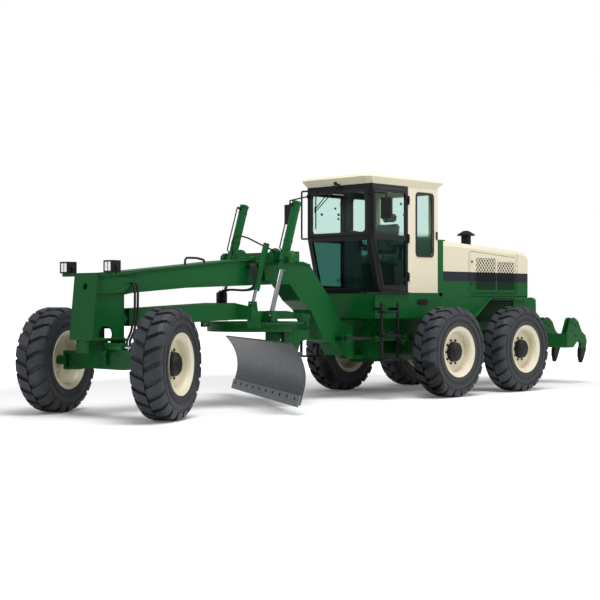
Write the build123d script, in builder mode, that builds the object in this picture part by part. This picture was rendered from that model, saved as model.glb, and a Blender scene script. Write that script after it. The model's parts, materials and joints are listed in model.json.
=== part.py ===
from build123d import *
import os
from collections import namedtuple
from math import atan2, cos, hypot, pi, radians, sin, sqrt

# Motor grader. Millimetres. +X forward, +Y to the driver's left, +Z up, ground at Z = 0.
# Stations along the machine are measured from the front axle, positive forward.

# ---------------------------------------------------------------- driving dimensions
front_axle_x = 4465
front_to_middle = 5472
tandem_spacing = 1741
rear_track = 2162
front_track = 1962
tyre_radius = 672
tyre_width = 405
rim_radius = 318
axle_z = tyre_radius

steer_angles = {1: 26.5, -1: 22}
blade_angle = 30
running_gap = 0.5
slip = 0.3

datum = Plane(origin=(front_axle_x, 0, 0))
middle_axle_x = -front_to_middle
rear_axle_x = middle_axle_x - tandem_spacing
tandem_pivot_x = (middle_axle_x + rear_axle_x) / 2
sides = (1, -1)

# ---------------------------------------------------------------- hydraulic cylinders
# pivot and eye are the pin centres at rest, back and mouth the barrel's ends from the
# pivot towards the eye, rod_end the rod's inner end. All in the frame named beside each.
Ram = namedtuple("Ram", "pivot eye barrel_radius rod_radius back mouth rod_end")

lift_y = 520
saddle_outer = lift_y + 92
trunnion = (-2550, 2020)
lift_eye = (-2304, 1250)
shift_y = 320
shift_ahead = 200
shift_eye_z = 1385
shift_run = (trunnion[1] - shift_eye_z) / (trunnion[1] - lift_eye[1])
shift_eye_x = trunnion[0] + shift_ahead + shift_run * (lift_eye[0] - trunnion[0])
kingpin_y = 700
steer_arm = 200
tie_arm = 220
steer_ram_z = 870
left_turn = radians(steer_angles[1])
steer_eye = (steer_arm * cos(left_turn), kingpin_y + steer_arm * sin(left_turn), steer_ram_z)
hinge_x = -4400
hinge_ram_y = 420

lift_ram = Ram((trunnion[0], lift_y, trunnion[1]), (lift_eye[0], lift_y, lift_eye[1]),
               60, 32, -790, 180, -330)
shift_ram = Ram((trunnion[0] + shift_ahead, shift_y, trunnion[1]),
                (shift_eye_x, shift_y, shift_eye_z), 42, 22, -190, 470, 5)
steer_ram = Ram((165, 190, steer_ram_z), steer_eye, 42, 22, 0, 333, 262)
hinge_ram = Ram((-5250, hinge_ram_y, 880), (-4020, 340, 880), 45, 25, 0, 700, 400)
tip_ram = Ram((-500, 0, 1080), (-320, 0, 690), 38, 20, 70, 330, 136)
ripper_ram = Ram((-8680, 0, 1230), (-9150, 0, 930), 50, 28, 64, 410, 180)

# ---------------------------------------------------------------- front frame
beam_half = 180
beam_top = [(350, 1745), (-1400, 1920), (-1750, 1960), (-2300, 2000), (-3250, 1980), (-3400, 1945)]
beam_bottom = [(340, 1480), (-1080, 1593), (-2600, 1650), (-3000, 1660), (-3220, 1430), (-3420, 1300)]
neck_top = [(-3800, 1500), (-4000, 1200), (-4180, 1090), (-4330, 1090)]
neck_bottom = [(-3700, 860), (-3990, 800), (-4100, 630), (-4330, 630)]
flange_thick = 24
flange_lip = 22
post_half = 210
post_wall = 25
post_top_z = 1745
post_bottom_z = 945
tow_hole_z = 1600
tow_hole_radius = 42
hinge_pin = 50
hinge_boss = 120
hinge_low_z = 630
hinge_high_z = 1090
lug_thick = 60

# ---------------------------------------------------------------- drawbar, circle, blade
ball_x = -150
ball_z = 1200
ball_radius = 60
circle_x = -2500
circle_radius = 700
circle_tooth_radius = 585
circle_web_radius = 622
circle_top_z = 1140
circle_height = 130
tooth_count = 48
yoke_low_z = 1180
blade_length = 3660
blade_bottom_z = 100
blade_top_z = 890
blade_shift_x = -60
blade_thick = 22
edge_thick = 20
tilt_x = -295
tilt_z = 330
tilt_boss = 50
arm_y = 520
arm_thick = 40
blade_turn = radians(blade_angle)
circle_datum = Plane(origin=(front_axle_x + circle_x, 0, 0),
                     x_dir=(cos(blade_turn), -sin(blade_turn), 0), z_dir=(0, 0, 1))

# ---------------------------------------------------------------- cab and hood
cab_front_x = -4200
cab_rear_x = -5750
cab_half = 650
cab_belt_z = 2360
cab_slope = 0.26
cab_floor_z = 1550
cab_wall_z = 3130
cab_wall = 40
roof_height = 135
door_rear_x = -5035
door_hinge_x = door_rear_x + 4
door_hinge_y = cab_half + 18
door_hinge_z = (1760, 2330, 2900)
hood_front_x = -5880
hood_rear_x = -8200
hood_half = 640
hood_low_z = 1500
hood_wall = 28
band_low_z = 1170

# ---------------------------------------------------------------- ripper
ripper_pivot = (-8700, 720)
ripper_y = 450
shank_y = (790, 263, -263, -790)


# ================================================================ helpers
def save(builder, label):
    """Name the piece and write it out."""
    builder.part.label = label
    export_step(builder.part, f"parts/{label}.step")


def side_plane(y, frame=datum):
    """Upright plane along a frame's X at width y, with its sketch Y up."""
    return Plane(origin=frame.from_local_coords((0, y, 0)), x_dir=frame.x_dir, z_dir=-frame.y_dir)


def flat_plane(z, frame=datum):
    """Level plane at height z."""
    return Plane(origin=frame.from_local_coords((0, 0, z)), x_dir=frame.x_dir, z_dir=(0, 0, 1))


def outline(points):
    """Straight-sided face in the sketch being drawn."""
    Polygon(*points, align=None)


def slab(points, y_low, y_high, frame=datum, mode=Mode.ADD):
    """Plate with a side outline, from one width to another."""
    plane = side_plane(y_high, frame)
    with BuildSketch(plane) as profile:
        outline(points)
    extrude(profile.sketch, amount=y_high - y_low, dir=plane.z_dir, mode=mode)


def sheet(points, z_low, z_high, frame=datum, mode=Mode.ADD):
    """Plate with a plan outline, from one height to another."""
    plane = flat_plane(z_low, frame)
    with BuildSketch(plane) as profile:
        outline(points)
    extrude(profile.sketch, amount=z_high - z_low, dir=plane.z_dir, mode=mode)


def block(x_span, y_span, z_span, frame=datum, mode=Mode.ADD):
    """Box between pairs of coordinates."""
    spans = (x_span, y_span, z_span)
    centre = [(low + high) / 2 for low, high in spans]
    with Locations(frame.location * Location(tuple(centre))):
        Box(*[abs(high - low) for low, high in spans], mode=mode)


def bar(start, end, radius, frame=datum, mode=Mode.ADD):
    """Round bar between two points."""
    start_point = frame.from_local_coords(Vector(*start))
    reach = frame.from_local_coords(Vector(*end)) - start_point
    with BuildSketch(Plane(origin=start_point, z_dir=reach)) as section:
        Circle(radius)
    extrude(section.sketch, amount=reach.length, dir=reach, mode=mode)


def pin_y(x, z, y_low, y_high, radius, frame=datum, mode=Mode.ADD):
    """Round bar across the machine."""
    bar((x, y_low, z), (x, y_high, z), radius, frame, mode)


def pin_z(x, y, z_low, z_high, radius, frame=datum, mode=Mode.ADD):
    """Upright round bar."""
    bar((x, y, z_low), (x, y, z_high), radius, frame, mode)


def along(ram, distance):
    """Point on a cylinder's line, measured from its pivot."""
    start = Vector(*ram.pivot)
    line = (Vector(*ram.eye) - start).normalized()
    return tuple(start + line * distance)


def flipped(ram, side):
    """The same cylinder on the side given."""
    pivot = (ram.pivot[0], ram.pivot[1] * side, ram.pivot[2])
    eye = (ram.eye[0], ram.eye[1] * side, ram.eye[2])
    return ram._replace(pivot=pivot, eye=eye)


def ram_barrel(ram, frame=datum):
    """Barrel with a gland at its mouth and a bore for the rod."""
    bar(along(ram, ram.back), along(ram, ram.mouth), ram.barrel_radius, frame)
    bar(along(ram, ram.mouth - 70), along(ram, ram.mouth), ram.barrel_radius + 8, frame)
    if ram.back > 0:
        bar(along(ram, 0), along(ram, ram.back + 1), ram.barrel_radius * 0.55, frame)


def ram_bore(ram, frame=datum):
    """Bore from the mouth back past the rod's inner end."""
    bottom = max(ram.back + 40, 50) if ram.back >= 0 else ram.back + 40
    bar(along(ram, bottom), along(ram, ram.mouth + 5), ram.rod_radius + slip, frame, Mode.SUBTRACT)


def ram_rod(ram, frame=datum):
    """Rod from inside the barrel to the eye."""
    reach = (Vector(*ram.eye) - Vector(*ram.pivot)).length
    bar(along(ram, ram.rod_end), along(ram, reach), ram.rod_radius, frame)


# ================================================================ wheels
lug_count = 22
lug_height = 36
lug_length = 128
lug_sweep = 96
centre_groove = 14
tread_radius = tyre_radius - lug_height
bead_half = 155


def tyre_section():
    """Half section of the casing, radius across and width up."""
    half = tyre_width / 2
    outline([(tread_radius, 0), (tread_radius, half - 70), (tread_radius - 24, half - 22),
             (tread_radius - 90, half - 3), (rim_radius + 170, half), (rim_radius + 90, half - 9),
             (rim_radius + 57, bead_half + 30), (rim_radius + 7, bead_half), (rim_radius + 7, 0)])


def tread_envelope():
    """Half section of the space the lugs fill, rounded off at the shoulder."""
    half = tyre_width / 2
    outline([(0, 0), (tyre_radius, 0), (tyre_radius, half - 85), (tyre_radius - 14, half - 38),
             (tyre_radius - 48, half - 8), (tyre_radius - 105, half), (0, half)])


def build_tyre():
    """Tyre about the Y axis, its outer side towards +Y."""
    with BuildPart() as tyre:
        with BuildSketch(Plane.XY):
            tyre_section()
            mirror(about=Plane.XZ)
        revolve(axis=Axis.Y)
        pitch = 360 / lug_count
        for row, phase in ((1, 0), (-1, 0.5)):
            for step in range(lug_count):
                angle = (step + phase) * pitch + 180
                face_up = Location((0, 0, 0), (0, angle, 0)) * Location((0, 0, tyre_radius))
                with BuildSketch(Plane(face_up)):
                    inner = row * centre_groove / 2
                    outer = row * (tyre_width / 2 + 1)
                    ahead = lug_sweep / 2
                    outline([(ahead - lug_length / 2, inner), (ahead + lug_length / 2, inner),
                             (lug_length / 2 - ahead, outer), (-lug_length / 2 - ahead, outer)])
                extrude(amount=-(lug_height + 70))
        with BuildSketch(Plane.XY):
            tread_envelope()
            mirror(about=Plane.XZ)
        revolve(axis=Axis.Y, mode=Mode.INTERSECT)
    return tyre.part


def build_rim():
    """Dished rim with a closed hub, its outer side towards +Y."""
    barrel = rim_radius + 6.7
    with BuildPart() as rim:
        with BuildSketch(Plane.XY):
            outline([(barrel, -bead_half), (375, -bead_half - 31), (375, -bead_half - 43),
                     (barrel - 6, -bead_half - 18), (barrel - 22, -bead_half + 20),
                     (barrel - 22, 20), (190, 44), (150, 40), (150, -30), (62, -30), (62, 70),
                     (0, 70), (0, 150), (112, 150), (135, 132), (150, 70), (190, 68),
                     (barrel - 22, 60), (barrel - 22, bead_half - 20), (barrel - 6, bead_half + 18),
                     (375, bead_half + 43), (375, bead_half + 31), (barrel, bead_half)])
        revolve(axis=Axis.Y)
    return rim.part


# ================================================================ front frame
def flange_strip(points):
    """Lip along a beam edge, wider than the beam."""
    lowered = [(x, z - flange_thick) for x, z in reversed(points)]
    slab(points + lowered, -beam_half - flange_lip, beam_half + flange_lip)


def front_beam():
    """Arched beam with its neck, lipped along both edges, and the hinge boss."""
    slab(beam_top + neck_top + neck_bottom[::-1] + beam_bottom[::-1], -beam_half, beam_half)
    flange_strip(beam_top)
    flange_strip([(x, z + flange_thick) for x, z in beam_bottom[:4]])
    pin_z(hinge_x, 0, hinge_low_z, hinge_high_z, hinge_boss)
    block((hinge_x, -4300), (-100, 100), (hinge_low_z, hinge_high_z))
    pin_z(hinge_x, 0, hinge_low_z - 1, hinge_high_z + 1, hinge_pin + slip, mode=Mode.SUBTRACT)


def front_post():
    """Hollow post at the nose, open below and behind, with a round hole in each cheek."""
    slab([(350, post_top_z), (430, post_bottom_z), (-70, post_bottom_z), (-70, 1500), (-300, 1540),
          (-300, 1700)], -post_half, post_half)
    slab([(-120, post_bottom_z - 5), (-120, 1440), (300, 1440), (385, post_bottom_z - 5)],
         -post_half + post_wall, post_half - post_wall, mode=Mode.SUBTRACT)
    pin_y(210, 1015, -post_half - 5, post_half + 5, 105, mode=Mode.SUBTRACT)


def axle_saddle():
    """Casting under the post that holds the axle's pivot pin."""
    block((-150, 150), (-190, 190), (930, 960))
    block((300, 405), (-125, 125), (790, 960))
    for x_low in (-150, 120):
        block((x_low, x_low + 30), (-130, 130), (640, 935))
    bar((-160, 0, 710), (160, 0, 710), 38)


def drawbar_socket():
    """Ears behind the post that hold the drawbar's ball."""
    block((-70, -40), (-post_half + 2, post_half - 2), (1080, 1320))
    for side in sides:
        span = sorted((side * (ball_radius + running_gap), side * (ball_radius + 30)))
        slab([(-45, 1290), (ball_x, ball_z + 70), (ball_x - 70, ball_z), (ball_x, ball_z - 70),
              (-45, 1110)], *span)


def lift_saddle():
    """Casting across the beam with a bearing for each lift cylinder's trunnion."""
    x, z = trunnion
    inner = lift_y - lift_ram.barrel_radius - 20
    slab([(x - 100, 2085), (x + 100, 2085), (x + 130, 1940), (x - 130, 1940)], -inner + 60, inner - 60)
    for side in sides:
        pin_y(x, z, *sorted((side * (inner - 70), side * inner)), 75)
        strap = sorted((side * beam_half, side * (beam_half + 45)))
        slab([(x - 100, 1950), (x + 100, 1950), (x + 70, 1700), (x - 70, 1700)], *strap)
        outer = sorted((side * saddle_outer, side * (saddle_outer + 55)))
        pin_y(x, z, *outer, 80)
        block((x - 140, x - 20), outer, (z - 62, z + 62))
        block((x - 140, x - 112), sorted((side * (inner - 60), side * (saddle_outer + 50))), (z - 75, z + 75))
        block((x - 140, x - 20), sorted((side * (inner - 60), side * (inner - 5))), (z - 62, z + 62))
        bore = sorted((side * (inner - 60), side * (saddle_outer + 60)))
        pin_y(x, z, *bore, 35 + slip, mode=Mode.SUBTRACT)


def hinge_ram_brackets():
    """Lugs on the neck that take the articulation rods' eyes."""
    x, y, z = hinge_ram.eye
    for side in sides:
        for low, high in ((z + 30 + running_gap, z + 60), (z - 60, z - 30 - running_gap)):
            sheet([(x + 90, side * 150), (x + 50, side * (y + 45)), (x - 45, side * (y + 45)),
                   (x - 60, side * 150)], low, high)


def lamp_bar():
    """Bracket bar on the post's top for the work lamps."""
    block((270, 330), (-520, 520), (post_top_z - 20, post_top_z + 20))


def build_front_frame():
    """Everything welded to the arched beam."""
    with BuildPart() as front_frame:
        front_beam()
        front_post()
        axle_saddle()
        drawbar_socket()
        lift_saddle()
        hinge_ram_brackets()
        lamp_bar()
        bar((250, 0, tow_hole_z), (450, 0, tow_hole_z), tow_hole_radius, mode=Mode.SUBTRACT)
    save(front_frame, "front_frame")


def build_work_lamps():
    """Two square lamps on the bar."""
    with BuildPart() as work_lamps:
        for side in sides:
            y = side * 443
            block((225, 350), (y - 78, y + 78), (post_top_z + 20, post_top_z + 165))
            block((350, 356), (y - 66, y + 66), (post_top_z + 32, post_top_z + 153), mode=Mode.ADD)
    save(work_lamps, "work_lamps")


# route points, then the arc radius at each corner
hose_radius = 15
hose_pitch = 46
hose_route = [(-170, post_half, 1640), (-170, post_half + 75, 1640), (-165, post_half + 90, 1500),
              (-165, post_half + 85, 1240), (-110, post_half + 78, 1040), (-52, post_half + 75, 930),
              (-52, post_half + 75, 820)]
hose_bends = (52, 100, 150, 90, 70)
loop_route = [(-1180, 60, 1899.7), (-1180, 60, 1960), (-1260, 0, 1990), (-1420, 20, 1990),
              (-1500, 70, 1965), (-1500, 70, 1933.2)]
loop_bends = (38, 60, 60, 20)


def hose(route, bends, shift=0):
    """Round hose along straight runs joined by arcs, shifted back by a distance."""
    stops = [datum.from_local_coords(Vector(x - shift, y, z)) for x, y, z in route]
    with BuildLine() as path:
        FilletPolyline(*stops, radius=bends)
    with BuildSketch(Plane(origin=path.line @ 0, z_dir=path.line % 0)) as section:
        Circle(hose_radius)
    sweep(section.sketch, path=path.line)


def build_frame_hoses():
    """Pair of hoses from the post down to the axle, and the loop lying on the beam."""
    with BuildPart() as frame_hoses:
        hose(hose_route, hose_bends)
        hose(hose_route, hose_bends, hose_pitch)
        hose(loop_route, loop_bends)
    save(frame_hoses, "frame_hoses")


axle_end = kingpin_y - 80


def build_front_axle():
    """Tapered axle beam with an eye for each kingpin."""
    with BuildPart() as front_axle:
        with BuildSketch(Plane(origin=datum.from_local_coords((-110, 0, 0)), x_dir=(0, 1, 0),
                               z_dir=(1, 0, 0))):
            half = [(axle_end, 740), (300, 820), (-300, 820), (-axle_end, 740), (-axle_end, 600)]
            outline(half + [(-axle_end + 220, 585), (axle_end - 220, 585), (axle_end, 600)])
        extrude(amount=220)
        for side in sides:
            pin_z(0, side * kingpin_y, 590, 760, 85)
            block((-60, 60), sorted((side * (axle_end - 20), side * kingpin_y)), (600, 745))
            pin_z(0, side * kingpin_y, 580, 770, 45 + slip, mode=Mode.SUBTRACT)
        for x_low, x_high in ((-151, -119), (119, 151)):
            block((x_low, x_high), (-140, 140), (580, 830), mode=Mode.SUBTRACT)
        bar((-120, 0, 710), (120, 0, 710), 38 + slip, mode=Mode.SUBTRACT)
        block((90, 225), (140, 240), (795, steer_ram_z - 42 - running_gap))
    save(front_axle, "front_axle")


# ================================================================ steering
def knuckle_frame(side):
    """Frame at a kingpin, turned by the steering angle at rest."""
    turn = radians(steer_angles[side])
    return Plane(origin=(front_axle_x, side * kingpin_y, 0), x_dir=(cos(turn), sin(turn), 0),
                 z_dir=(0, 0, 1))


def build_knuckle(side, label):
    """Kingpin, yoke and stub axle, with arms for the tie rod and the steering cylinder."""
    frame = knuckle_frame(side)
    web = sorted((side * 95, side * 130))
    stub_end = side * (front_track / 2 - kingpin_y + 66)
    with BuildPart() as knuckle:
        pin_z(0, 0, 555, 795, 45, frame)
        for z_low, z_high in ((555, 590 - running_gap), (760 + running_gap, 795)):
            sheet([(-80, 0), (-40, -side * 75), (40, -side * 75), (80, 0), (80, side * 130),
                   (-80, side * 130)], z_low, z_high, frame)
        block((-80, 80), web, (555, 795), frame)
        bar((0, side * 100, axle_z), (0, stub_end, axle_z), 61.5, frame)
        block((-tie_arm, -60), (-35, 35), (555, 585), frame)
        pin_z(-tie_arm, 0, 555, 585, 40, frame)
        if side == 1:
            block((60, steer_arm), (-35, 35), (765, 795), frame)
            pin_z(steer_arm, 0, 765, steer_ram_z - 42 - running_gap, 40, frame)
    save(knuckle, label)


def build_tie_rod():
    """Rod behind the axle that joins the two knuckles."""
    ends = []
    for side in sides:
        turn = radians(steer_angles[side])
        ends.append((-tie_arm * cos(turn), side * kingpin_y - tie_arm * sin(turn)))
    with BuildPart() as tie_rod:
        for x, y in ends:
            pin_z(x, y, 585 + running_gap, 645, 34)
        bar((*ends[0], 615), (*ends[1], 615), 20)
    save(tie_rod, "tie_rod")


def build_steering_ram():
    """Cylinder that turns the left knuckle."""
    with BuildPart() as steering_barrel:
        x, y, z = steer_ram.pivot
        ram_barrel(steer_ram)
        pin_z(x, y, z - 42, z + 50, 44)
        ram_bore(steer_ram)
    save(steering_barrel, "steering_barrel")
    with BuildPart() as steering_rod:
        x, y, z = steer_ram.eye
        ram_rod(steer_ram)
        pin_z(x, y, z - 42, z + 42, 42)
    save(steering_rod, "steering_rod")


# ================================================================ drawbar and its cylinders
def guide_shoe(frame):
    """Hook that carries the circle's rim, in a frame turned about the circle's centre."""
    outer = circle_radius + 45
    block((circle_web_radius + 10, outer), (-90, 90), (circle_top_z + running_gap, yoke_low_z + 40), frame)
    block((circle_radius + 6, outer), (-90, 90), (circle_top_z - 70, yoke_low_z), frame)
    block((circle_web_radius + 44, outer), (-90, 90), (circle_top_z - 70, circle_top_z - 36), frame)


def drawbar_frame():
    """A-frame and yoke, as a plan outline cut to a side outline."""
    cx = circle_x
    yoke = [(cx + 640, 300), (cx + 560, 520), (cx + 400, 520), (cx + 330, 430), (cx - 330, 430),
            (cx - 400, 520), (cx - 560, 520), (cx - 560, 300)]
    half = [(ball_x - 85, 100)] + yoke
    other = [(x, -y) for x, y in reversed(half)]
    side_view = [(ball_x - 85, 1330), (-1850, 1400), (-2040, 1290), (cx - 200, 1290), (cx - 560, 1235),
                 (cx - 560, yoke_low_z), (cx + 500, yoke_low_z), (ball_x - 85, 1110)]
    slab(side_view, -530, 530)
    sheet(half + other, yoke_low_z - 100, 1450, mode=Mode.INTERSECT)
    for side in sides:
        window = [(-700, 25), (-1700, 30), (-1700, 190), (-700, 85)]
        sheet([(x, side * y) for x, y in window], 1000, 1500, mode=Mode.SUBTRACT)
    sheet([(cx + 300, 250), (cx + 300, -250), (cx - 300, -250), (cx - 300, 250)], 1000, 1500,
          mode=Mode.SUBTRACT)


def lift_lugs():
    """Brackets either side of the yoke for the lift rods' eyes, and one for the shift rod."""
    x, z = lift_eye
    for side in sides:
        span = sorted((side * 420, side * (lift_y + 61)))
        block((x - 60, x + 60), span, (yoke_low_z - 28, yoke_low_z - 2))
        block((x - 60, x + 60), sorted((side * 400, side * (lift_y - 50))), (yoke_low_z - 28, z + 20))
        for offset in (-61, 36 + running_gap):
            plate = sorted((side * (lift_y + offset), side * (lift_y + offset + 24.5)))
            slab([(x - 55, yoke_low_z - 20), (x + 55, yoke_low_z - 20), (x + 40, z + 45), (x - 40, z + 45)],
                 *plate)
    x, z = shift_eye_x, shift_eye_z
    for y_low in (shift_y - 45, shift_y + 22 + running_gap):
        slab([(x - 60, 1260), (x + 60, 1260), (x + 35, z + 35), (x - 35, z + 35)], y_low, y_low + 22)


def build_drawbar():
    """Drawbar with its ball, yoke, lugs and the hooks that carry the circle."""
    with BuildPart() as drawbar:
        drawbar_frame()
        pin_y(ball_x, ball_z, -ball_radius, ball_radius, ball_radius)
        block((ball_x - 120, ball_x), (-ball_radius, ball_radius), (ball_z - 60, ball_z + 60))
        lift_lugs()
        for angle in (45, 135, 225, 315):
            corner = Plane(Location((front_axle_x + circle_x, 0, 0), (0, 0, angle)))
            guide_shoe(corner)
    save(drawbar, "drawbar")


def build_circle_drive():
    """Gearbox and motor that turn the circle."""
    with BuildPart() as circle_drive:
        pin_z(-2180, -330, 1290, 1390, 110)
        pin_z(-2180, -330, 1390, 1540, 75)
        block((-2240, -2120), (-390, -270), (1290, 1345))
    save(circle_drive, "circle_drive")


def build_lift_rams():
    """Lift cylinders either side of the beam, and the shift cylinder beside it."""
    with BuildPart() as lift_barrels:
        for side in sides:
            ram = flipped(lift_ram, side)
            ram_barrel(ram)
            pin_y(*trunnion, *sorted((side * (lift_y - 135), side * (saddle_outer + 55))), 35)
            bar(along(ram, -60), along(ram, 60), 78)
            ram_bore(ram)
    save(lift_barrels, "lift_barrels")
    with BuildPart() as shift_barrel:
        ram_barrel(shift_ram)
        ram_bore(shift_ram)
    save(shift_barrel, "shift_barrel")
    with BuildPart() as lift_rods:
        for side in sides:
            ram_rod(flipped(lift_ram, side))
            y = side * lift_y
            pin_y(*lift_eye, y - 36, y + 36, 44)
    save(lift_rods, "lift_rods")
    with BuildPart() as shift_rod:
        ram_rod(shift_ram)
        pin_y(shift_eye_x, shift_eye_z, shift_y - 22, shift_y + 22, 36)
    save(shift_rod, "shift_rod")


# ================================================================ circle and blade
def circle_ring():
    """Ring with an outer rim flange and gear teeth inside."""
    up = (0, 0, 1)
    with BuildSketch(flat_plane(circle_top_z - circle_height, circle_datum)) as gear:
        Circle(circle_web_radius + 38)
        Circle(circle_web_radius - 8, mode=Mode.SUBTRACT)
        pitch = 2 * pi / tooth_count
        half = circle_tooth_radius * pitch / 4
        with PolarLocations(0, tooth_count):
            outline([(circle_tooth_radius, -half * 0.6), (circle_web_radius, -half * 1.3),
                     (circle_web_radius, half * 1.3), (circle_tooth_radius, half * 0.6)])
    extrude(gear.sketch, amount=circle_height, dir=up)
    with BuildSketch(flat_plane(circle_top_z - 30, circle_datum)) as rim:
        Circle(circle_radius)
        Circle(circle_web_radius + 10, mode=Mode.SUBTRACT)
    extrude(rim.sketch, amount=30, dir=up)


def circle_arms():
    """Two arms down to the blade's tilt pins, tied by a cross tube."""
    low = circle_top_z - circle_height
    front = tilt_x + 10
    for side in sides:
        span = sorted((side * (arm_y - arm_thick / 2), side * (arm_y + arm_thick / 2)))
        slab([(front, tilt_z + 30), (front, low), (front - 20, low + 20), (-620, low + 20),
              (-620, low - 100), (-500, low - 130), (-365, tilt_z + 60), (-335, tilt_z - 10),
              (tilt_x, tilt_z - 40)], *span, frame=circle_datum)
        pin_y(tilt_x, tilt_z, *span, tilt_boss, circle_datum)
        stub = sorted((side * (arm_y - arm_thick / 2 - 60), side * arm_y))
        pin_y(tilt_x, tilt_z, *stub, 28, circle_datum)
    pin_y(-565, 950, -arm_y, arm_y, 48, circle_datum)
    for side in sides:
        ear = sorted((side * (26 + running_gap), side * 48))
        slab([(-605, 940), (-575, 915), (-500, 1035), (-462, 1080), (-475, 1120), (-525, 1120),
              (-550, 1090)], *ear, frame=circle_datum)


def build_circle():
    """Toothed circle with the arms that hang the blade."""
    with BuildPart() as circle:
        circle_ring()
        circle_arms()
    save(circle, "circle")


rail_table = ((615, 665), (305, 355))
rail_back = -235
side_ram_x = -185
side_ram_z = 760
carrier_front = rail_back - 3


def build_blade_carrier():
    """Tilting frame with shoes round the blade's two rails, and the side-shift barrel."""
    with BuildPart() as blade_carrier:
        block((carrier_front - 37, carrier_front), (-430, 430), (275, 700), circle_datum)
        block((carrier_front - 60, carrier_front + 5), (-250, 250), (400, 575), circle_datum, Mode.SUBTRACT)
        for side in sides:
            boss = sorted((side * 445, side * (arm_y - arm_thick / 2 - running_gap)))
            pin_y(tilt_x, tilt_z, *sorted((side * 380, boss[1] if side == 1 else boss[0])), 48, circle_datum)
            for low, high in rail_table:
                span = sorted((side * 330, side * 430))
                block((carrier_front - 1, -200), span, (high + running_gap, high + 25), circle_datum)
                block((carrier_front - 1, -200), span, (low - 25, low - running_gap), circle_datum)
            pin_y(tilt_x, tilt_z, *sorted((side * 370, side * 510)), 28 + slip, circle_datum, Mode.SUBTRACT)
        for side in sides:
            ear = sorted((side * (24 + running_gap), side * 46))
            slab([(carrier_front - 5, 600), (carrier_front - 5, 700), (-285, 728), (-340, 728), (-362, 690),
                  (-320, 600)], *ear, frame=circle_datum)
        for side in sides:
            block((carrier_front - 24, side_ram_x - 8), sorted((side * 330, side * 430)),
                  (690, side_ram_z), circle_datum)
        pin_y(side_ram_x, side_ram_z, -800, 550, 28, circle_datum)
        pin_y(side_ram_x, side_ram_z, -760, 551, 16 + slip, circle_datum, Mode.SUBTRACT)
    save(blade_carrier, "blade_carrier")


blade_slope = radians(15)
flat_length = 190
blade_nose = (-45 + blade_shift_x, 128)
flat_top = (blade_nose[0] - flat_length * sin(blade_slope), blade_nose[1] + flat_length * cos(blade_slope))
blade_tip = (70 + blade_shift_x, blade_top_z)
roll = (blade_tip[0] - flat_top[0], blade_tip[1] - flat_top[1])
roll_radius = hypot(*roll) / 2 / sin(atan2(roll[0], roll[1]) + blade_slope)
roll_centre = (flat_top[0] + roll_radius * cos(blade_slope), flat_top[1] + roll_radius * sin(blade_slope))


def plate_middle_x(z):
    """Middle of the moldboard's plate at height z."""
    return roll_centre[0] - sqrt(roll_radius**2 - (z - roll_centre[1]) ** 2) - blade_thick / 2


def build_moldboard():
    """Moldboard with a flat foot and a tangent arc up to its rolled top, its rails behind."""
    half = blade_length / 2
    rise = (-sin(blade_slope), cos(blade_slope))
    with BuildPart() as moldboard:
        with BuildSketch(side_plane(half, circle_datum)):
            with BuildLine():
                front = TangentArc(flat_top, blade_tip, tangent=rise)
                centre = front.arc_center
                grow = (front.radius + blade_thick) / front.radius
                back_top = centre + (Vector(*blade_tip) - centre) * grow
                back_low = centre + (Vector(*flat_top) - centre) * grow
                Line(blade_tip, back_top)
                TangentArc(back_low, back_top, tangent=rise)
                Polyline(back_low, back_low - Vector(*rise) * flat_length, blade_nose, flat_top)
            make_face()
        extrude(amount=blade_length)
        for low, high in rail_table:
            block((rail_back, plate_middle_x((low + high) / 2)), (-1100, 1100), (low, high), circle_datum)
        block((side_ram_x - 30, plate_middle_x(side_ram_z)), (half - 240, half - 200),
              (side_ram_z - 22, side_ram_z + 22), circle_datum)
        pin_y(side_ram_x, side_ram_z, -60, half - 200, 16, circle_datum)
    save(moldboard, "moldboard")


edge_rise = 120
edge_bolts = 10
edge_bolt_rise = 70
edge_bolt_radius = 12


def foot_point(up, out):
    """Point on the blade's flat foot, measured up its face from the nose and out from it."""
    return (blade_nose[0] - sin(blade_slope) * up + cos(blade_slope) * out,
            blade_nose[1] + cos(blade_slope) * up + sin(blade_slope) * out)


def build_cutting_edge():
    """Flat edge along the moldboard's foot, with a row of bolt holes."""
    drop = (blade_nose[1] - blade_bottom_z) / cos(blade_slope)
    corners = [(-drop, 0), (edge_rise, 0), (edge_rise, edge_thick), (-drop, edge_thick)]
    with BuildPart() as cutting_edge:
        slab([foot_point(*corner) for corner in corners], -blade_length / 2, blade_length / 2, circle_datum)
        front = foot_point(edge_bolt_rise, edge_thick + 1)
        back = foot_point(edge_bolt_rise, -1)
        for bolt in range(edge_bolts):
            y = blade_length * ((bolt + 0.5) / edge_bolts - 0.5)
            bar((front[0], y, front[1]), (back[0], y, back[1]), edge_bolt_radius, circle_datum, Mode.SUBTRACT)
    save(cutting_edge, "cutting_edge")


def build_tip_ram():
    """Cylinder that tips the blade."""
    with BuildPart() as tip_barrel:
        x, y, z = tip_ram.pivot
        ram_barrel(tip_ram, circle_datum)
        pin_y(x, z, -26, 26, 40, circle_datum)
        ram_bore(tip_ram, circle_datum)
    save(tip_barrel, "tip_barrel")
    with BuildPart() as tip_rod:
        x, y, z = tip_ram.eye
        ram_rod(tip_ram, circle_datum)
        pin_y(x, z, -24, 24, 34, circle_datum)
    save(tip_rod, "tip_rod")


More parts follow.
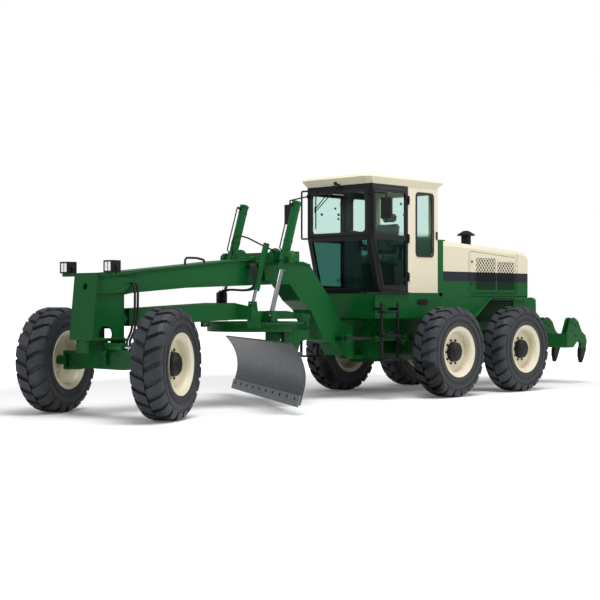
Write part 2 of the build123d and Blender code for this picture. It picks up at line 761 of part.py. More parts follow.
# ================================================================ rear frame
def hinge_fork():
    """Lugs and pin of the articulation hinge, with the box behind them."""
    for low, high in ((hinge_high_z + running_gap, hinge_high_z + lug_thick),
                      (hinge_low_z - lug_thick, hinge_low_z - running_gap)):
        pin_z(hinge_x, 0, low, high, 130)
        block((-4620, hinge_x), (-130, 130), (low, high))
    pin_z(hinge_x, 0, hinge_low_z - lug_thick, hinge_high_z + lug_thick, hinge_pin)
    block((-4900, -4610), (-240, 240), (hinge_low_z - lug_thick, hinge_high_z + lug_thick))
    block((-4900, -4780), (-390, 390), (960, hinge_high_z + lug_thick))


def frame_rails():
    """Two rails with cross members, and the deck above them."""
    for side in sides:
        block((-8600, -4780), sorted((side * 300, side * 390)), (960, band_low_z))
        x, y, z = hinge_ram.pivot
        block((x - 60, x + 60), sorted((side * 330, side * (y + 50))), (z + 50 + running_gap, 965))
    for x in (-5600, tandem_pivot_x, -7300, -8200):
        block((x - 60, x + 60), (-320, 320), (980, 1150))
    block((-8400, -5780), (-420, 420), (band_low_z - 1, band_low_z + 30))


def side_bands():
    """Panels under the cab and the hood's front, with the cab's floor pan."""
    block((-5790, -4280), (-cab_half, cab_half), (band_low_z, band_low_z + 30))
    block((-4310, -4280), (-cab_half, cab_half), (band_low_z, cab_floor_z))
    block((cab_face_x(cab_floor_z) + 3, -4280), (-cab_half, cab_half), (cab_floor_z - 30, cab_floor_z))
    for side in sides:
        span = sorted((side * (cab_half - 28), side * cab_half))
        slab([(-4285, band_low_z), (-4285, cab_floor_z), (-5790, cab_floor_z), (-5790, hood_low_z),
              (-7120, hood_low_z), (-6700, band_low_z + 20), (-6500, band_low_z)], *span)
        floor = sorted((side * 400, side * (cab_half - 10)))
        block((-6400, -5780), floor, (band_low_z, band_low_z + 30))


def rear_bracket():
    """End box and plate with the ripper's ears and the hitch."""
    slab([(-7850, 1190), (-7850, 1455), (-8410, 1490), (-8520, 1455), (-8530, 1190)], -590, 590)
    block((-8600, -8420), (-500, 500), (640, 1300))
    x, z = ripper_pivot
    for side in sides:
        for y_low, y_high in ((ripper_y - 65, ripper_y - 31), (ripper_y + 31, ripper_y + 65)):
            span = sorted((side * y_low, side * y_high))
            slab([(-8590, z + 120), (x, z + 55), (x - 55, z), (x, z - 55), (-8590, z - 75)], *span)
        pin_y(x, z, *sorted((side * (ripper_y - 65), side * (ripper_y + 65))), 30)
        ear = sorted((side * (36 + running_gap), side * 60))
        px, py, pz = ripper_ram.pivot
        slab([(-8590, pz + 60), (px, pz + 50), (px - 50, pz), (px, pz - 50), (-8590, pz - 110)], *ear)
    block((-8760, -8590), (-120, 120), (820, 860))
    pin_z(-8690, 0, 810, 870, 30, mode=Mode.SUBTRACT)


def build_rear_frame():
    """Rails, deck, side bands, hinge fork and rear bracket in one weldment."""
    with BuildPart() as rear_frame:
        hinge_fork()
        frame_rails()
        side_bands()
        rear_bracket()
    save(rear_frame, "rear_frame")


def build_powertrain():
    """Engine and transmission as one block between the rails."""
    with BuildPart() as engine:
        block((-7600, -6450), (-280, 280), (band_low_z + 30, engine_top_z))
        block((-6460, -6000), (-200, 200), (band_low_z + 30, 1500))
    save(engine, "engine")


def build_rear_axle():
    """Differential housing with tubes out to the tandem cases."""
    with BuildPart() as rear_axle:
        x = tandem_pivot_x
        pin_y(x, axle_z, -605, 605, 115)
        pin_y(x, axle_z, -150, 150, 240)
        bar((x + 380, 0, axle_z + 40), (x, 0, axle_z), 120)
        for side in sides:
            block((x - 110, x + 110), sorted((side * 300, side * 390)), (axle_z, 960))
    save(rear_axle, "rear_axle")


def build_tandem_cases():
    """Chain case each side, with a stub axle for each wheel."""
    with BuildPart() as tandem_cases:
        for side in sides:
            with BuildSketch(side_plane(side * 700 + 95)):
                with Locations((tandem_pivot_x, axle_z)):
                    SlotCenterToCenter(tandem_spacing, 430)
            extrude(amount=190)
            for x in (middle_axle_x, rear_axle_x):
                pin_y(x, axle_z, *sorted((side * 780, side * 830)), 160)
                pin_y(x, axle_z, *sorted((side * 820, side * (rear_track / 2 + 66))), 61.5)
    save(tandem_cases, "tandem_cases")


# ================================================================ cab
def cab_face_x(z):
    """Front face of the cab at a height: upright above the belt, sloping back below it."""
    return cab_front_x - max(0, cab_belt_z - z) * cab_slope


def cab_side(inset, low, high):
    """Side outline of the cab's front edge, set back by an inset, from one height to another."""
    return [(cab_face_x(z) - inset, z) for z in (high, cab_belt_z, low)]


def cab_windows():
    """Openings in the cab's walls."""
    block((cab_front_x - 100, cab_front_x + 50), (-560, 560), (2395, 3050), mode=Mode.SUBTRACT)
    block((cab_front_x - 300, cab_front_x + 50), (-540, 540), (1620, 2310), mode=Mode.SUBTRACT)
    block((cab_rear_x - 50, cab_rear_x + 150), (-500, 500), (2420, 3050), mode=Mode.SUBTRACT)
    for side in sides:
        wall = sorted((side * (cab_half - 100), side * (cab_half + 50)))
        doorway = cab_side(35, cab_floor_z + 40, 3080)
        slab(doorway + [(door_rear_x, cab_floor_z + 40), (door_rear_x, 3080)], *wall, mode=Mode.SUBTRACT)
        with BuildSketch(side_plane(max(wall))) as window:
            with Locations((-5430, 2575)):
                RectangleRounded(400, 930, 70)
        extrude(window.sketch, amount=150, dir=(0, -1, 0), mode=Mode.SUBTRACT)


def hinge_knuckle(x, y, z_span, leaf_x, leaf_y, radius):
    """Barrel of a door hinge with the leaf that joins it to its panel."""
    pin_z(x, y, *z_span, radius)
    block(sorted((x, leaf_x)), leaf_y, z_span)


def build_cab_shell():
    """Cab walls and floor, open above where the roof closes them."""
    with BuildPart() as cab_shell:
        slab(cab_side(0, cab_floor_z, cab_wall_z) + [(cab_rear_x, cab_floor_z), (cab_rear_x, cab_wall_z)],
             -cab_half, cab_half)
        toe = front_axle_x + cab_face_x(cab_floor_z)
        corners = cab_shell.edges().filter_by(lambda e: e.center().X > toe and abs(e.center().Y) > 1)
        chamfer(corners, length=30)
        rear = cab_rear_x + cab_wall
        slab(cab_side(cab_wall, cab_floor_z + cab_wall, cab_wall_z + 5) +
             [(rear, cab_floor_z + cab_wall), (rear, cab_wall_z + 5)],
             cab_wall - cab_half, cab_half - cab_wall, mode=Mode.SUBTRACT)
        cab_windows()
        for side in sides:
            leaf = sorted((side * cab_half, side * (cab_half + 10)))
            for z in door_hinge_z:
                for span in ((z - 40, z - slip), (z + 50 + slip, z + 90)):
                    hinge_knuckle(door_hinge_x, side * door_hinge_y, span, door_hinge_x - 60, leaf, 14)
    save(cab_shell, "cab_shell")


def roof_outline(front, rear, half):
    """Roof plan with clipped corners."""
    cut = 60
    outline([(front - cut, half), (front, half - cut), (front, cut - half), (front - cut, -half),
             (rear + cut, -half), (rear, cut - half), (rear, half - cut), (rear + cut, half)])


def build_cab_roof():
    """Roof that flares outwards and has a shallow crown."""
    with BuildPart() as cab_roof:
        with BuildSketch(flat_plane(cab_wall_z)):
            roof_outline(cab_front_x + 20, cab_rear_x - 30, cab_half + 5)
        with BuildSketch(flat_plane(cab_wall_z + 95)):
            roof_outline(cab_front_x + 110, cab_rear_x - 160, cab_half + 38)
        loft()
        with BuildSketch(flat_plane(cab_wall_z + 95)):
            roof_outline(cab_front_x + 110, cab_rear_x - 160, cab_half + 38)
        with BuildSketch(flat_plane(cab_wall_z + roof_height)):
            roof_outline(cab_front_x + 40, cab_rear_x - 90, cab_half - 30)
        loft()
    save(cab_roof, "cab_roof")


def build_cab_glass():
    """Fixed panes: windscreens, rear window and the two rear quarter panes."""
    with BuildPart() as cab_glass:
        front = cab_front_x - 18
        block((front - 8, front), (-560, 560), (2395, 3050))
        pane = [(cab_face_x(z) - inset, z) for inset, z in ((18, 2310), (26, 2310), (26, 1620), (18, 1620))]
        slab(pane, -540, 540)
        block((cab_rear_x + 16, cab_rear_x + 24), (-500, 500), (2420, 3050))
        for side in sides:
            with BuildSketch(side_plane(max(side * (cab_half - 16), side * (cab_half - 24)))):
                with Locations((-5430, 2575)):
                    RectangleRounded(400, 930, 70)
            extrude(amount=8)
    save(cab_glass, "cab_glass")


def build_cab_interior():
    """Seat pedestal, console and steering column."""
    floor = cab_floor_z + cab_wall
    with BuildPart() as cab_interior:
        block((-5250, -4900), (-200, 200), (floor, 1980))
        slab([(-4470, floor), (-4600, floor), (-4600, 2180), (-4460, 2230)], -110, 110)
        bar((-4520, 0, 2150), (-4680, 0, 2330), 28)
        block((-5300, -4850), (-220, 220), (1960, 2000))
        column = Plane(origin=datum.from_local_coords((-4675, 0, 2325)), z_dir=(-160, 0, 180))
        with BuildSketch(column):
            Circle(205)
            Circle(180, mode=Mode.SUBTRACT)
            Rectangle(370, 40)
        extrude(amount=22)
    save(cab_interior, "cab_interior")
    with BuildPart() as seat_cushions:
        block((-5290, -4820), (-250, 250), (2000 + slip, 2120))
        slab([(-5200, 2120 + slip), (-5290, 2120 + slip), (-5400, 2760), (-5310, 2760)], -240, 240)
    save(seat_cushions, "seat_cushions")


door_outer = cab_half + 4
door_low_z = cab_floor_z + 48
door_high_z = 3072


def build_door(side, word):
    """Framed door with an upper and a lower pane, hinged at its rear edge."""
    outer = door_outer
    span = sorted((side * (outer - 38), side * outer))
    through = sorted((side * (outer - 60), side * (outer + 20)))
    rear = door_rear_x + 8
    panes = []
    for low, high in ((cab_belt_z + 35, door_high_z - 55), (door_low_z + 60, cab_belt_z - 40)):
        panes.append([(rear + 55, low), (rear + 55, high), (cab_face_x(high) - 95, high),
                      (cab_face_x(low) - 95, low)])
    with BuildPart() as door:
        slab(cab_side(45, door_low_z, door_high_z) + [(rear, door_low_z), (rear, door_high_z)], *span)
        for pane in panes:
            slab(pane, *through, mode=Mode.SUBTRACT)
        leaf = sorted((side * outer, side * (outer + 6)))
        for z in door_hinge_z:
            hinge_knuckle(door_hinge_x, side * door_hinge_y, (z, z + 50), door_hinge_x + 60, leaf, 14)
    save(door, f"cab_door_{word}")
    with BuildPart() as glass:
        for pane in panes:
            slab(pane, *sorted((side * (outer - 24), side * (outer - 16))))
    save(glass, f"door_glass_{word}")


def build_mirrors():
    """Mirror each side on an arm from the cab's front corner, and the right grab rail."""
    x = cab_front_x + 36
    with BuildPart() as mirrors:
        for side in sides:
            block((cab_front_x, x + 5), sorted((side * (cab_half - 80), side * (cab_half - 50))), (2970, 3030))
            bar((x, side * (cab_half - 65), 3000), (x, side * 960, 2960), 11)
            bar((x, side * 960, 2960), (x, side * 960, 2540), 11)
            block((x - 20, x + 20), sorted((side * 870, side * 1060)), (2600, 2900))
    save(mirrors, "mirrors")


def build_ladders():
    """Access steps hung from the side bands."""
    with BuildPart() as ladders:
        for side in sides:
            for x in (-4250, -4610):
                block((x - 20, x + 20), sorted((side * 790, side * 812)), (570, 1400))
            for z in (585, 925, 1265):
                block((-4620, -4240), sorted((side * 720, side * 880)), (z - 12, z + 12))
            for x in (-4250, -4610):
                block((x - 20, x + 20), sorted((side * cab_half, side * 800)), (1290, 1330))
    save(ladders, "ladders")


# ================================================================ hood
hood_top = [(hood_front_x, 2345), (-6300, 2340), (-7000, 2310), (-8140, 2245), (hood_rear_x, 2205)]
engine_bay = (-7850, -6600)
bay_hinge_x = engine_bay[0] + 4
bay_hinge_y = hood_half + 10
bay_hinge_z = (1640, 1980)


# x, y, pipe radius, height of the pipe's top
stack_table = ((-7080, 200, 80, 2500), (-6600, 0, 60, 2400))
engine_top_z = 1950


def build_hood():
    """Hood shell open below, with side doorways and an opening for the radiator grille."""
    with BuildPart() as hood:
        slab(hood_top + [(hood_rear_x, hood_low_z), (hood_front_x, hood_low_z)], -hood_half, hood_half)
        long_edges = hood.edges().filter_by(lambda e: abs(e.center().Z) > 2100 and
                                            abs(abs(e.center().Y) - hood_half) < 1)
        chamfer(long_edges, length=70)
        inner = [(x, z - hood_wall) for x, z in hood_top]
        inner[0] = (hood_front_x - hood_wall, inner[0][1])
        inner[-1] = (hood_rear_x + hood_wall, inner[-1][1])
        low = [(hood_rear_x + hood_wall, hood_low_z - 5), (hood_front_x - hood_wall, hood_low_z - 5)]
        clear = hood_half - hood_wall
        slab(inner + low, -clear + 55, clear - 55, mode=Mode.SUBTRACT)
        slab([(x, z - 75) for x, z in inner] + low, -clear, clear, mode=Mode.SUBTRACT)
        rear, front = engine_bay
        for side in sides:
            wall = sorted((side * (hood_half - 100), side * (hood_half + 50)))
            slab([(front, 1545), (front, 2220), (rear, 2145), (rear, 1545)], *wall, mode=Mode.SUBTRACT)
        block((hood_rear_x - 50, hood_rear_x + 100), (-480, 480), (1560, 2050), mode=Mode.SUBTRACT)
        for side in sides:
            leaf = sorted((side * hood_half, side * (hood_half + 6)))
            for z in bay_hinge_z:
                for span in ((z - 40, z - slip), (z + 50 + slip, z + 90)):
                    hinge_knuckle(bay_hinge_x, side * bay_hinge_y, span, bay_hinge_x - 50, leaf, 10)
        for x, y, radius, top in stack_table:
            pin_z(x, y, 2150, top, radius + 2, mode=Mode.SUBTRACT)
        block((cab_rear_x - 130, cab_rear_x - 8), (-hood_half - 15, hood_half + 15), (cab_floor_z, 2365))
    save(hood, "hood")


def build_engine_door(side, word):
    """Side door with two slatted grilles, hinged along its rear edge."""
    rear, front = engine_bay[0] + 8, engine_bay[1] - 8
    span = sorted((side * (hood_half - 26), side * hood_half))
    through = sorted((side * (hood_half - 60), side * (hood_half + 20)))
    grilles = ((-7270, -6750, 2110), (-7800, -7320, 2060))
    with BuildPart() as door:
        slab([(front, 1553), (front, 2212), (rear, 2138), (rear, 1553)], *span)
        for low, high, top in grilles:
            block((low, high), through, (1610, top), mode=Mode.SUBTRACT)
            slats = 8
            for step in range(1, slats):
                z = 1610 + (top - 1610) * step / slats
                block((low - 5, high + 5), sorted((side * (hood_half - 20), side * (hood_half - 8))),
                      (z - 9, z + 9))
        leaf = sorted((side * hood_half, side * (hood_half + 6)))
        for z in bay_hinge_z:
            hinge_knuckle(bay_hinge_x, side * bay_hinge_y, (z, z + 50), bay_hinge_x + 50, leaf, 10)
    save(door, f"engine_door_{word}")


def build_radiator_grille():
    """Slatted grille at the hood's rear."""
    with BuildPart() as radiator_grille:
        x = hood_rear_x + 4
        block((x, x + 24), (-480, 480), (1560, 2050))
        block((x - 10, x + 40), (-440, 440), (1600, 2010), mode=Mode.SUBTRACT)
        for step in range(1, 9):
            z = 1600 + 410 * step / 9
            block((x + 4, x + 20), (-445, 445), (z - 12, z + 12))
    save(radiator_grille, "radiator_grille")


def build_stacks():
    """Air precleaner and exhaust outlet on the hood."""
    with BuildPart() as hood_stacks:
        for x, y, radius, top in stack_table:
            pin_z(x, y, engine_top_z, top, radius)
        x, y, radius, top = stack_table[0]
        pin_z(x, y, top - 8, top + 12, 145)
        with Locations((front_axle_x + x, y, top + 12 + 30)):
            Cone(bottom_radius=143, top_radius=45, height=60)
        x, y, radius, top = stack_table[1]
        pin_z(x, y, top - 5, top + 12, 110)
    save(hood_stacks, "hood_stacks")


# ================================================================ ripper
def shank(y):
    """Curved shank with its tip, behind the beam."""
    slab([(-9290, 1125), (-9420, 1118), (-9500, 1060), (-9600, 905), (-9720, 835), (-9765, 730),
          (-9730, 590), (-9660, 450), (-9600, 365), (-9568, 480), (-9572, 620), (-9600, 690), (-9530, 745),
          (-9440, 770), (-9300, 700)], y - 32, y + 32)


def build_ripper():
    """Ripper beam with its arms, shank holders and shanks."""
    x, z = ripper_pivot
    holder = [(-9080, 870), (-9190, 1090), (-9240, 1140), (-9310, 1145), (-9380, 1110), (-9430, 1000),
              (-9440, 760), (-9290, 640), (-9280, 640)]
    with BuildPart() as ripper:
        block((-9290, -9080), (-850, 850), (630, 870))
        for side in sides:
            span = sorted((side * (ripper_y - 30), side * (ripper_y + 30)))
            slab([(x, z + 50), (x - 60, z + 50), (-9090, 860), (-9090, 640), (x, z - 50)], *span)
            pin_y(x, z, *span, 50)
            pin_y(x, z, *sorted((side * (ripper_y - 35), side * (ripper_y + 35))), 30 + slip,
                  mode=Mode.SUBTRACT)
            ear = sorted((side * (32 + running_gap), side * 56))
            ex, ey, ez = ripper_ram.eye
            slab([(-9090, 865), (ex + 45, ez + 20), (ex + 20, ez + 50), (ex - 40, ez + 50), (-9240, 865)], *ear)
        for y in shank_y:
            shank(y)
            slab(holder, y - 62, y - 32)
            slab(holder, y + 32, y + 62)
    save(ripper, "ripper")


def build_ripper_ram():
    """Cylinder that lifts the ripper."""
    with BuildPart() as ripper_barrel:
        x, y, z = ripper_ram.pivot
        ram_barrel(ripper_ram)
        pin_y(x, z, -36, 36, 48)
        ram_bore(ripper_ram)
    save(ripper_barrel, "ripper_barrel")
    with BuildPart() as ripper_rod:
        x, y, z = ripper_ram.eye
        ram_rod(ripper_ram)
        pin_y(x, z, -32, 32, 42)
    save(ripper_rod, "ripper_rod")


# ================================================================ articulation cylinders
def build_hinge_rams():
    """Cylinder each side of the articulation hinge."""
    for side, word in ((1, "left"), (-1, "right")):
        ram = flipped(hinge_ram, side)
        with BuildPart() as barrel:
            x, y, z = ram.pivot
            ram_barrel(ram)
            pin_z(x, y, z - 50, z + 50, 50)
            ram_bore(ram)
        save(barrel, f"articulation_barrel_{word}")
        with BuildPart() as rod:
            x, y, z = ram.eye
            ram_rod(ram)
            pin_z(x, y, z - 30, z + 30, 42)
        save(rod, f"articulation_rod_{word}")


# ================================================================ wheels in place
def build_wheels():
    """Tyre and rim of each wheel, mirrored to the right side and turned where steered."""
    tyre_pattern = build_tyre()
    rim_pattern = build_rim()
    for axle, x in (("front", 0), ("middle", middle_axle_x), ("rear", rear_axle_x)):
        for side, word in ((1, "left"), (-1, "right")):
            if axle == "front":
                offset = side * (front_track / 2 - kingpin_y)
                place = knuckle_frame(side).location * Location((0, offset, axle_z))
            else:
                place = Location((front_axle_x + x, side * rear_track / 2, axle_z))
            for kind, pattern in (("tyre", tyre_pattern), ("rim", rim_pattern)):
                shape = pattern if side == 1 else pattern.mirror(Plane.XZ)
                with BuildPart() as wheel:
                    add(shape.moved(place))
                save(wheel, f"{kind}_{axle}_{word}")


# ================================================================ build
os.makedirs("parts", exist_ok=True)
build_wheels()
build_front_frame()
build_work_lamps()
build_frame_hoses()
build_front_axle()
build_knuckle(1, "knuckle_left")
build_knuckle(-1, "knuckle_right")
build_tie_rod()
build_steering_ram()
build_drawbar()
build_circle_drive()
build_lift_rams()
build_circle()
build_blade_carrier()
build_moldboard()
build_cutting_edge()
build_tip_ram()
build_rear_frame()
build_powertrain()
build_rear_axle()
build_tandem_cases()
build_cab_shell()
build_cab_roof()
build_cab_glass()
build_cab_interior()
build_door(1, "left")
build_door(-1, "right")
build_mirrors()
build_ladders()
build_hood()
build_engine_door(1, "left")
build_engine_door(-1, "right")
build_radiator_grille()
build_stacks()
build_ripper()
build_ripper_ram()
build_hinge_rams()
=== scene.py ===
# %% [markdown]
# # A motor grader, dressed for its picture
# The frame holds the solid model of the machine in metres: X points forward, Y to the
# driver's left and Z up, with the ground at Z = 0. This notebook loads that model, lights it,
# gives every part its finish and adds the small things that a solid model leaves out.

# %% Load the machine
import json
from math import cos, pi, radians, sin
import bpy
import bmesh
from mathutils import Matrix, Vector


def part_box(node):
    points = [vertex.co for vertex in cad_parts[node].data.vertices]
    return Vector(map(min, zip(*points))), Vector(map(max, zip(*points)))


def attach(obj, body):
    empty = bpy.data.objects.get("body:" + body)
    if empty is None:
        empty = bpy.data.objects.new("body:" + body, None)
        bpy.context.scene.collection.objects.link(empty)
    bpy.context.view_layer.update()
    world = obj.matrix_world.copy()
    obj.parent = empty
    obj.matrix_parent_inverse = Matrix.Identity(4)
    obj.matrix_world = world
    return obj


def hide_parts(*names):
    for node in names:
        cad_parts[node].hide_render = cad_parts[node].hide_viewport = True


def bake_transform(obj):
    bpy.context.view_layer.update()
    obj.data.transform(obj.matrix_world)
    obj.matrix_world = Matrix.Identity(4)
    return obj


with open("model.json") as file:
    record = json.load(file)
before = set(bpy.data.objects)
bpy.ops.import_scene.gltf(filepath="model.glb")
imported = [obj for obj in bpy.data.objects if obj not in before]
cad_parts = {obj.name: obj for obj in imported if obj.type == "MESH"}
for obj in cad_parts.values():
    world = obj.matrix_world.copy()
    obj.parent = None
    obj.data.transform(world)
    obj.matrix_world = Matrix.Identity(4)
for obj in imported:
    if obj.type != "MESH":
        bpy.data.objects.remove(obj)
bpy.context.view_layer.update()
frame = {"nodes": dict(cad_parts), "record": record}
nodes = frame["nodes"]

# %% [markdown]
# ## Where the camera stands
# A long lens from the machine's left front keeps its upright lines nearly parallel. The
# camera is at chest height and looks level, so the far wheels sit just above the near ones.

# %% Camera
scene = bpy.context.scene
yaw, pitch = radians(-135.97), radians(0.11)
look = Vector((cos(yaw) * cos(pitch), sin(yaw) * cos(pitch), sin(pitch)))
camera_data = bpy.data.cameras.new("camera")
camera_data.lens = 75.25
camera_data.sensor_width = 36
camera_data.clip_end = 300
camera = bpy.data.objects.new("camera", camera_data)
scene.collection.objects.link(camera)
camera.location = (13.968, 12.466, 1.4055)
camera.rotation_mode = "QUATERNION"
camera.rotation_quaternion = look.to_track_quat("-Z", "Y")
scene.camera = camera
print("camera", round(camera.location.length, 2), "m from the machine's middle")

# %% [markdown]
# ## Shader trees written as sums
# A shader tree reads more easily when its sockets can be added and multiplied like numbers.
# A Wire stands for one output socket and puts a math node where a sign is written. An Effect
# is a node group in the making, with wires for its inputs and for the place on the piece.

# %% Helpers for nodes
BLACK, WHITE = (0, 0, 0, 1), (1, 1, 1, 1)


def fill(tree, socket, value):
    """Join a socket to a wire or another socket, or give it a plain value."""
    if isinstance(value, Wire):
        value = value.socket
    if hasattr(value, "is_output"):
        tree.links.new(value, socket)
    else:
        socket.default_value = value


def fill_named(tree, node, values):
    """Fill inputs by name, with underscores for the spaces in a name."""
    for name, value in values.items():
        fill(tree, node.inputs[name.replace("_", " ")], value)


def add_node(tree, kind, inputs=(), **settings):
    """Shader node with settings, its inputs given by place or by name."""
    node = tree.nodes.new("ShaderNode" + kind)
    for name, value in settings.items():
        setattr(node, name, value)
    for socket, value in dict(inputs).items():
        fill(tree, node.inputs[socket], value)
    return node


def compute(tree, operation, *values):
    """Math node on wires and numbers."""
    return Wire(tree, add_node(tree, "Math", enumerate(values), operation=operation).outputs[0])


def sign(operation, swapped=False):
    """Method that computes with a wire and another value, in the order written or swapped."""
    def method(wire, other):
        return compute(wire.tree, operation, *((other, wire) if swapped else (wire, other)))
    return method


class Wire:
    """Output socket that takes part in sums as a number does."""

    __add__, __sub__, __rsub__ = sign("ADD"), sign("SUBTRACT"), sign("SUBTRACT", True)
    __mul__, __truediv__, __rtruediv__ = sign("MULTIPLY"), sign("DIVIDE"), sign("DIVIDE", True)
    __gt__, __lt__ = sign("GREATER_THAN"), sign("LESS_THAN")

    def __init__(self, tree, socket):
        self.tree, self.socket = tree, socket

    def math(self, operation, *others):
        """Math node on this wire and other values."""
        return compute(self.tree, operation, self, *others)

    def blend(self, off, on):
        """Colour that goes from one to the other as this wire goes from 0 to 1."""
        node = add_node(self.tree, "Mix", {0: self, 6: off, 7: on}, data_type="RGBA")
        return Wire(self.tree, node.outputs[2])


class Effect:
    """Node group in the making."""

    def __init__(self, name, outputs, **inputs):
        self.tree = bpy.data.node_groups.new(name, "ShaderNodeTree")
        for label, value in inputs.items():
            kind = "NodeSocketFloat" if isinstance(value, float) else "NodeSocketColor"
            socket = self.tree.interface.new_socket(label.replace("_", " "), in_out="INPUT", socket_type=kind)
            socket.default_value = value
        for label in outputs:
            kind = "NodeSocketColor" if label == "Color" else "NodeSocketFloat"
            self.tree.interface.new_socket(label, in_out="OUTPUT", socket_type=kind)
        given = self.tree.nodes.new("NodeGroupInput").outputs
        self.given = [Wire(self.tree, socket) for socket in given[:len(inputs)]]
        self.result = self.tree.nodes.new("NodeGroupOutput")
        self.position = add_node(self.tree, "TexCoord").outputs["Object"]
        parts = add_node(self.tree, "SeparateXYZ", {0: self.position}).outputs
        self.xyz = [Wire(self.tree, part) for part in parts]

    def noise(self, scale, detail=4.0, position=None):
        """Noise over the piece, or over another position."""
        inputs = {"Vector": position or self.position, "Scale": scale, "Detail": detail}
        return Wire(self.tree, add_node(self.tree, "TexNoise", inputs).outputs["Fac"])

    def end(self, **wires):
        """Join the wires to the outputs and give the finished group."""
        fill_named(self.tree, self.result, wires)
        return self.tree


# %% [markdown]
# ## A plain studio
# The floor and the world are white to the camera, while the light that falls on the machine
# stays at a plain level. The floor keeps a soft shadow under the wheels.

# %% Studio
scene.view_settings.view_transform = "Standard"
sky_light = 0.32
shadow_reach, white_reach, shadow_lift = 5.4, 9.5, 0.07
floor_half = 60


def studio_world():
    """World that lights the machine softly and looks white behind it."""
    world = bpy.data.worlds.new("studio")
    scene.world = world
    world.use_nodes = True
    tree = world.node_tree
    tree.nodes.clear()
    paths = add_node(tree, "LightPath").outputs
    seen = compute(tree, "MAXIMUM", paths["Is Camera Ray"], paths["Is Transmission Ray"])
    lit = add_node(tree, "Background", {"Color": WHITE, "Strength": sky_light})
    white = add_node(tree, "Background", {"Color": WHITE})
    mix = add_node(tree, "MixShader", {0: seen, 1: lit.outputs[0], 2: white.outputs[0]})
    add_node(tree, "OutputWorld", {"Surface": mix.outputs[0]})


def area_lamp(name, place, aim, size, power):
    """Large soft lamp turned towards a point."""
    data = bpy.data.lights.new(name, "AREA")
    data.shape = "SQUARE"
    data.size = size
    data.energy = power
    lamp = bpy.data.objects.new(name, data)
    lamp.location = place
    lamp.rotation_mode = "QUATERNION"
    lamp.rotation_quaternion = (Vector(aim) - Vector(place)).to_track_quat("-Z", "Y")
    scene.collection.objects.link(lamp)


def studio_floor():
    """Broad floor, white to the camera away from the machine's shadow."""
    mesh = bpy.data.meshes.new("floor")
    corners = [(x * floor_half, y * floor_half, 0) for x, y in ((-1, -1), (1, -1), (1, 1), (-1, 1))]
    mesh.from_pydata(corners, [], [(0, 1, 2, 3)])
    floor = bpy.data.objects.new("floor", mesh)
    scene.collection.objects.link(floor)
    material = bpy.data.materials.new("floor_white")
    material.use_nodes = True
    tree = material.node_tree
    position = add_node(tree, "NewGeometry").outputs["Position"]
    reach = add_node(tree, "VectorMath", {0: position}, operation="LENGTH").outputs["Value"]
    fade = add_node(tree, "MapRange", {"Value": reach, "From Min": shadow_reach, "From Max": white_reach,
                                       "To Min": shadow_lift, "To Max": 1.0})
    camera_ray = add_node(tree, "LightPath").outputs["Is Camera Ray"]
    fill_named(tree, tree.nodes["Principled BSDF"], {
        "Base Color": (0.92, 0.92, 0.92, 1), "Roughness": 0.9, "Specular IOR Level": 0.1,
        "Emission Color": WHITE,
        "Emission Strength": compute(tree, "MULTIPLY", camera_ray, fade.outputs["Result"])})
    mesh.materials.append(material)


studio_world()
area_lamp("key_lamp", (3, 5, 14), (0, 0, 1), 9, 2000)
area_lamp("side_lamp", (-10, 11, 8), (-1, 0, 1), 8, 560)
area_lamp("nose_lamp", (13, -6, 7), (2, 0, 1), 6, 230)
studio_floor()

# %% [markdown]
# ## Shader effects that several finishes share
# A real machine's paint, rubber and steel are never one flat colour. Each effect is built
# once as a node group with named inputs, and every material sets its own values. The first
# is road dust, which settles in soft patches on what is near the ground. It mixes a dust
# colour over the paint and gives a mask that also makes the surface duller.

# %% Road dust
effect = Effect("road_dust", ("Color", "Mask"), Paint=BLACK, Dust=(0.3, 0.27, 0.22, 1), Amount=0.3, Reach=1.5)
paint, dust, amount, reach = effect.given
least_dust = 0.12
low = (1.0 - effect.xyz[2] / reach).math("MAXIMUM", least_dust)
speckle = effect.noise(5.0, 7.0) * 1.6 + effect.noise(60.0, 3.0) * 0.5
mask = (speckle * low * amount).math("MINIMUM", 1.0)
road_dust = effect.end(Color=mask.blend(paint, dust), Mask=mask)

# %% [markdown]
# Sprayed paint has a fine ripple. Cast iron is coarser, and the same group serves both with
# another scale. It gives a height for a Bump node.

# %% Surface ripple
effect = Effect("ripple", ("Height",), Scale=90.0, Coarse=0.3)
scale, coarse = effect.given
ripple = effect.end(Height=effect.noise(scale, 2.0) + effect.noise(scale * 0.15, 2.0) * coarse)

# %% [markdown]
# The hood wears three colours one above the other, and the cab is black round the windows and
# cream behind them. Two groups choose a colour by height or by length along the machine. A
# third darkens the glass below the cab's belt, as painted shade for the dark cab behind it.

# %% Colour by height and by length
effect = Effect("livery", ("Color",), Upper=WHITE, Stripe=BLACK, Lower=BLACK, Stripe_top=1.885,
                Stripe_foot=1.735)
upper, stripe, lower, stripe_top, stripe_foot = effect.given
z = effect.xyz[2]
livery = effect.end(Color=(z > stripe_top).blend((z > stripe_foot).blend(lower, stripe), upper))

effect = Effect("front_split", ("Color",), Ahead=BLACK, Behind=WHITE, Lining=BLACK, Station=0.0,
                Lining_half_width=0.635, Lining_rear=-1.24)
ahead, behind, lining, station, half_width, rear = effect.given
x, y, z = effect.xyz
inside = (y.math("ABSOLUTE") < half_width) * (x > rear)
front_split = effect.end(Color=inside.blend((x > station).blend(behind, ahead), lining))

# Painted shade: the glass grows darker below the belt, where the dark cab shows through it.
effect = Effect("pane_painted_shade", ("Color",), Upper=WHITE, Lower=BLACK, Belt=2.34, Blur=0.12)
upper, lower, belt, blur = effect.given
above = (effect.xyz[2] - belt) / blur
above.socket.node.use_clamp = True
pane_painted_shade = effect.end(Color=above.blend(lower, upper))
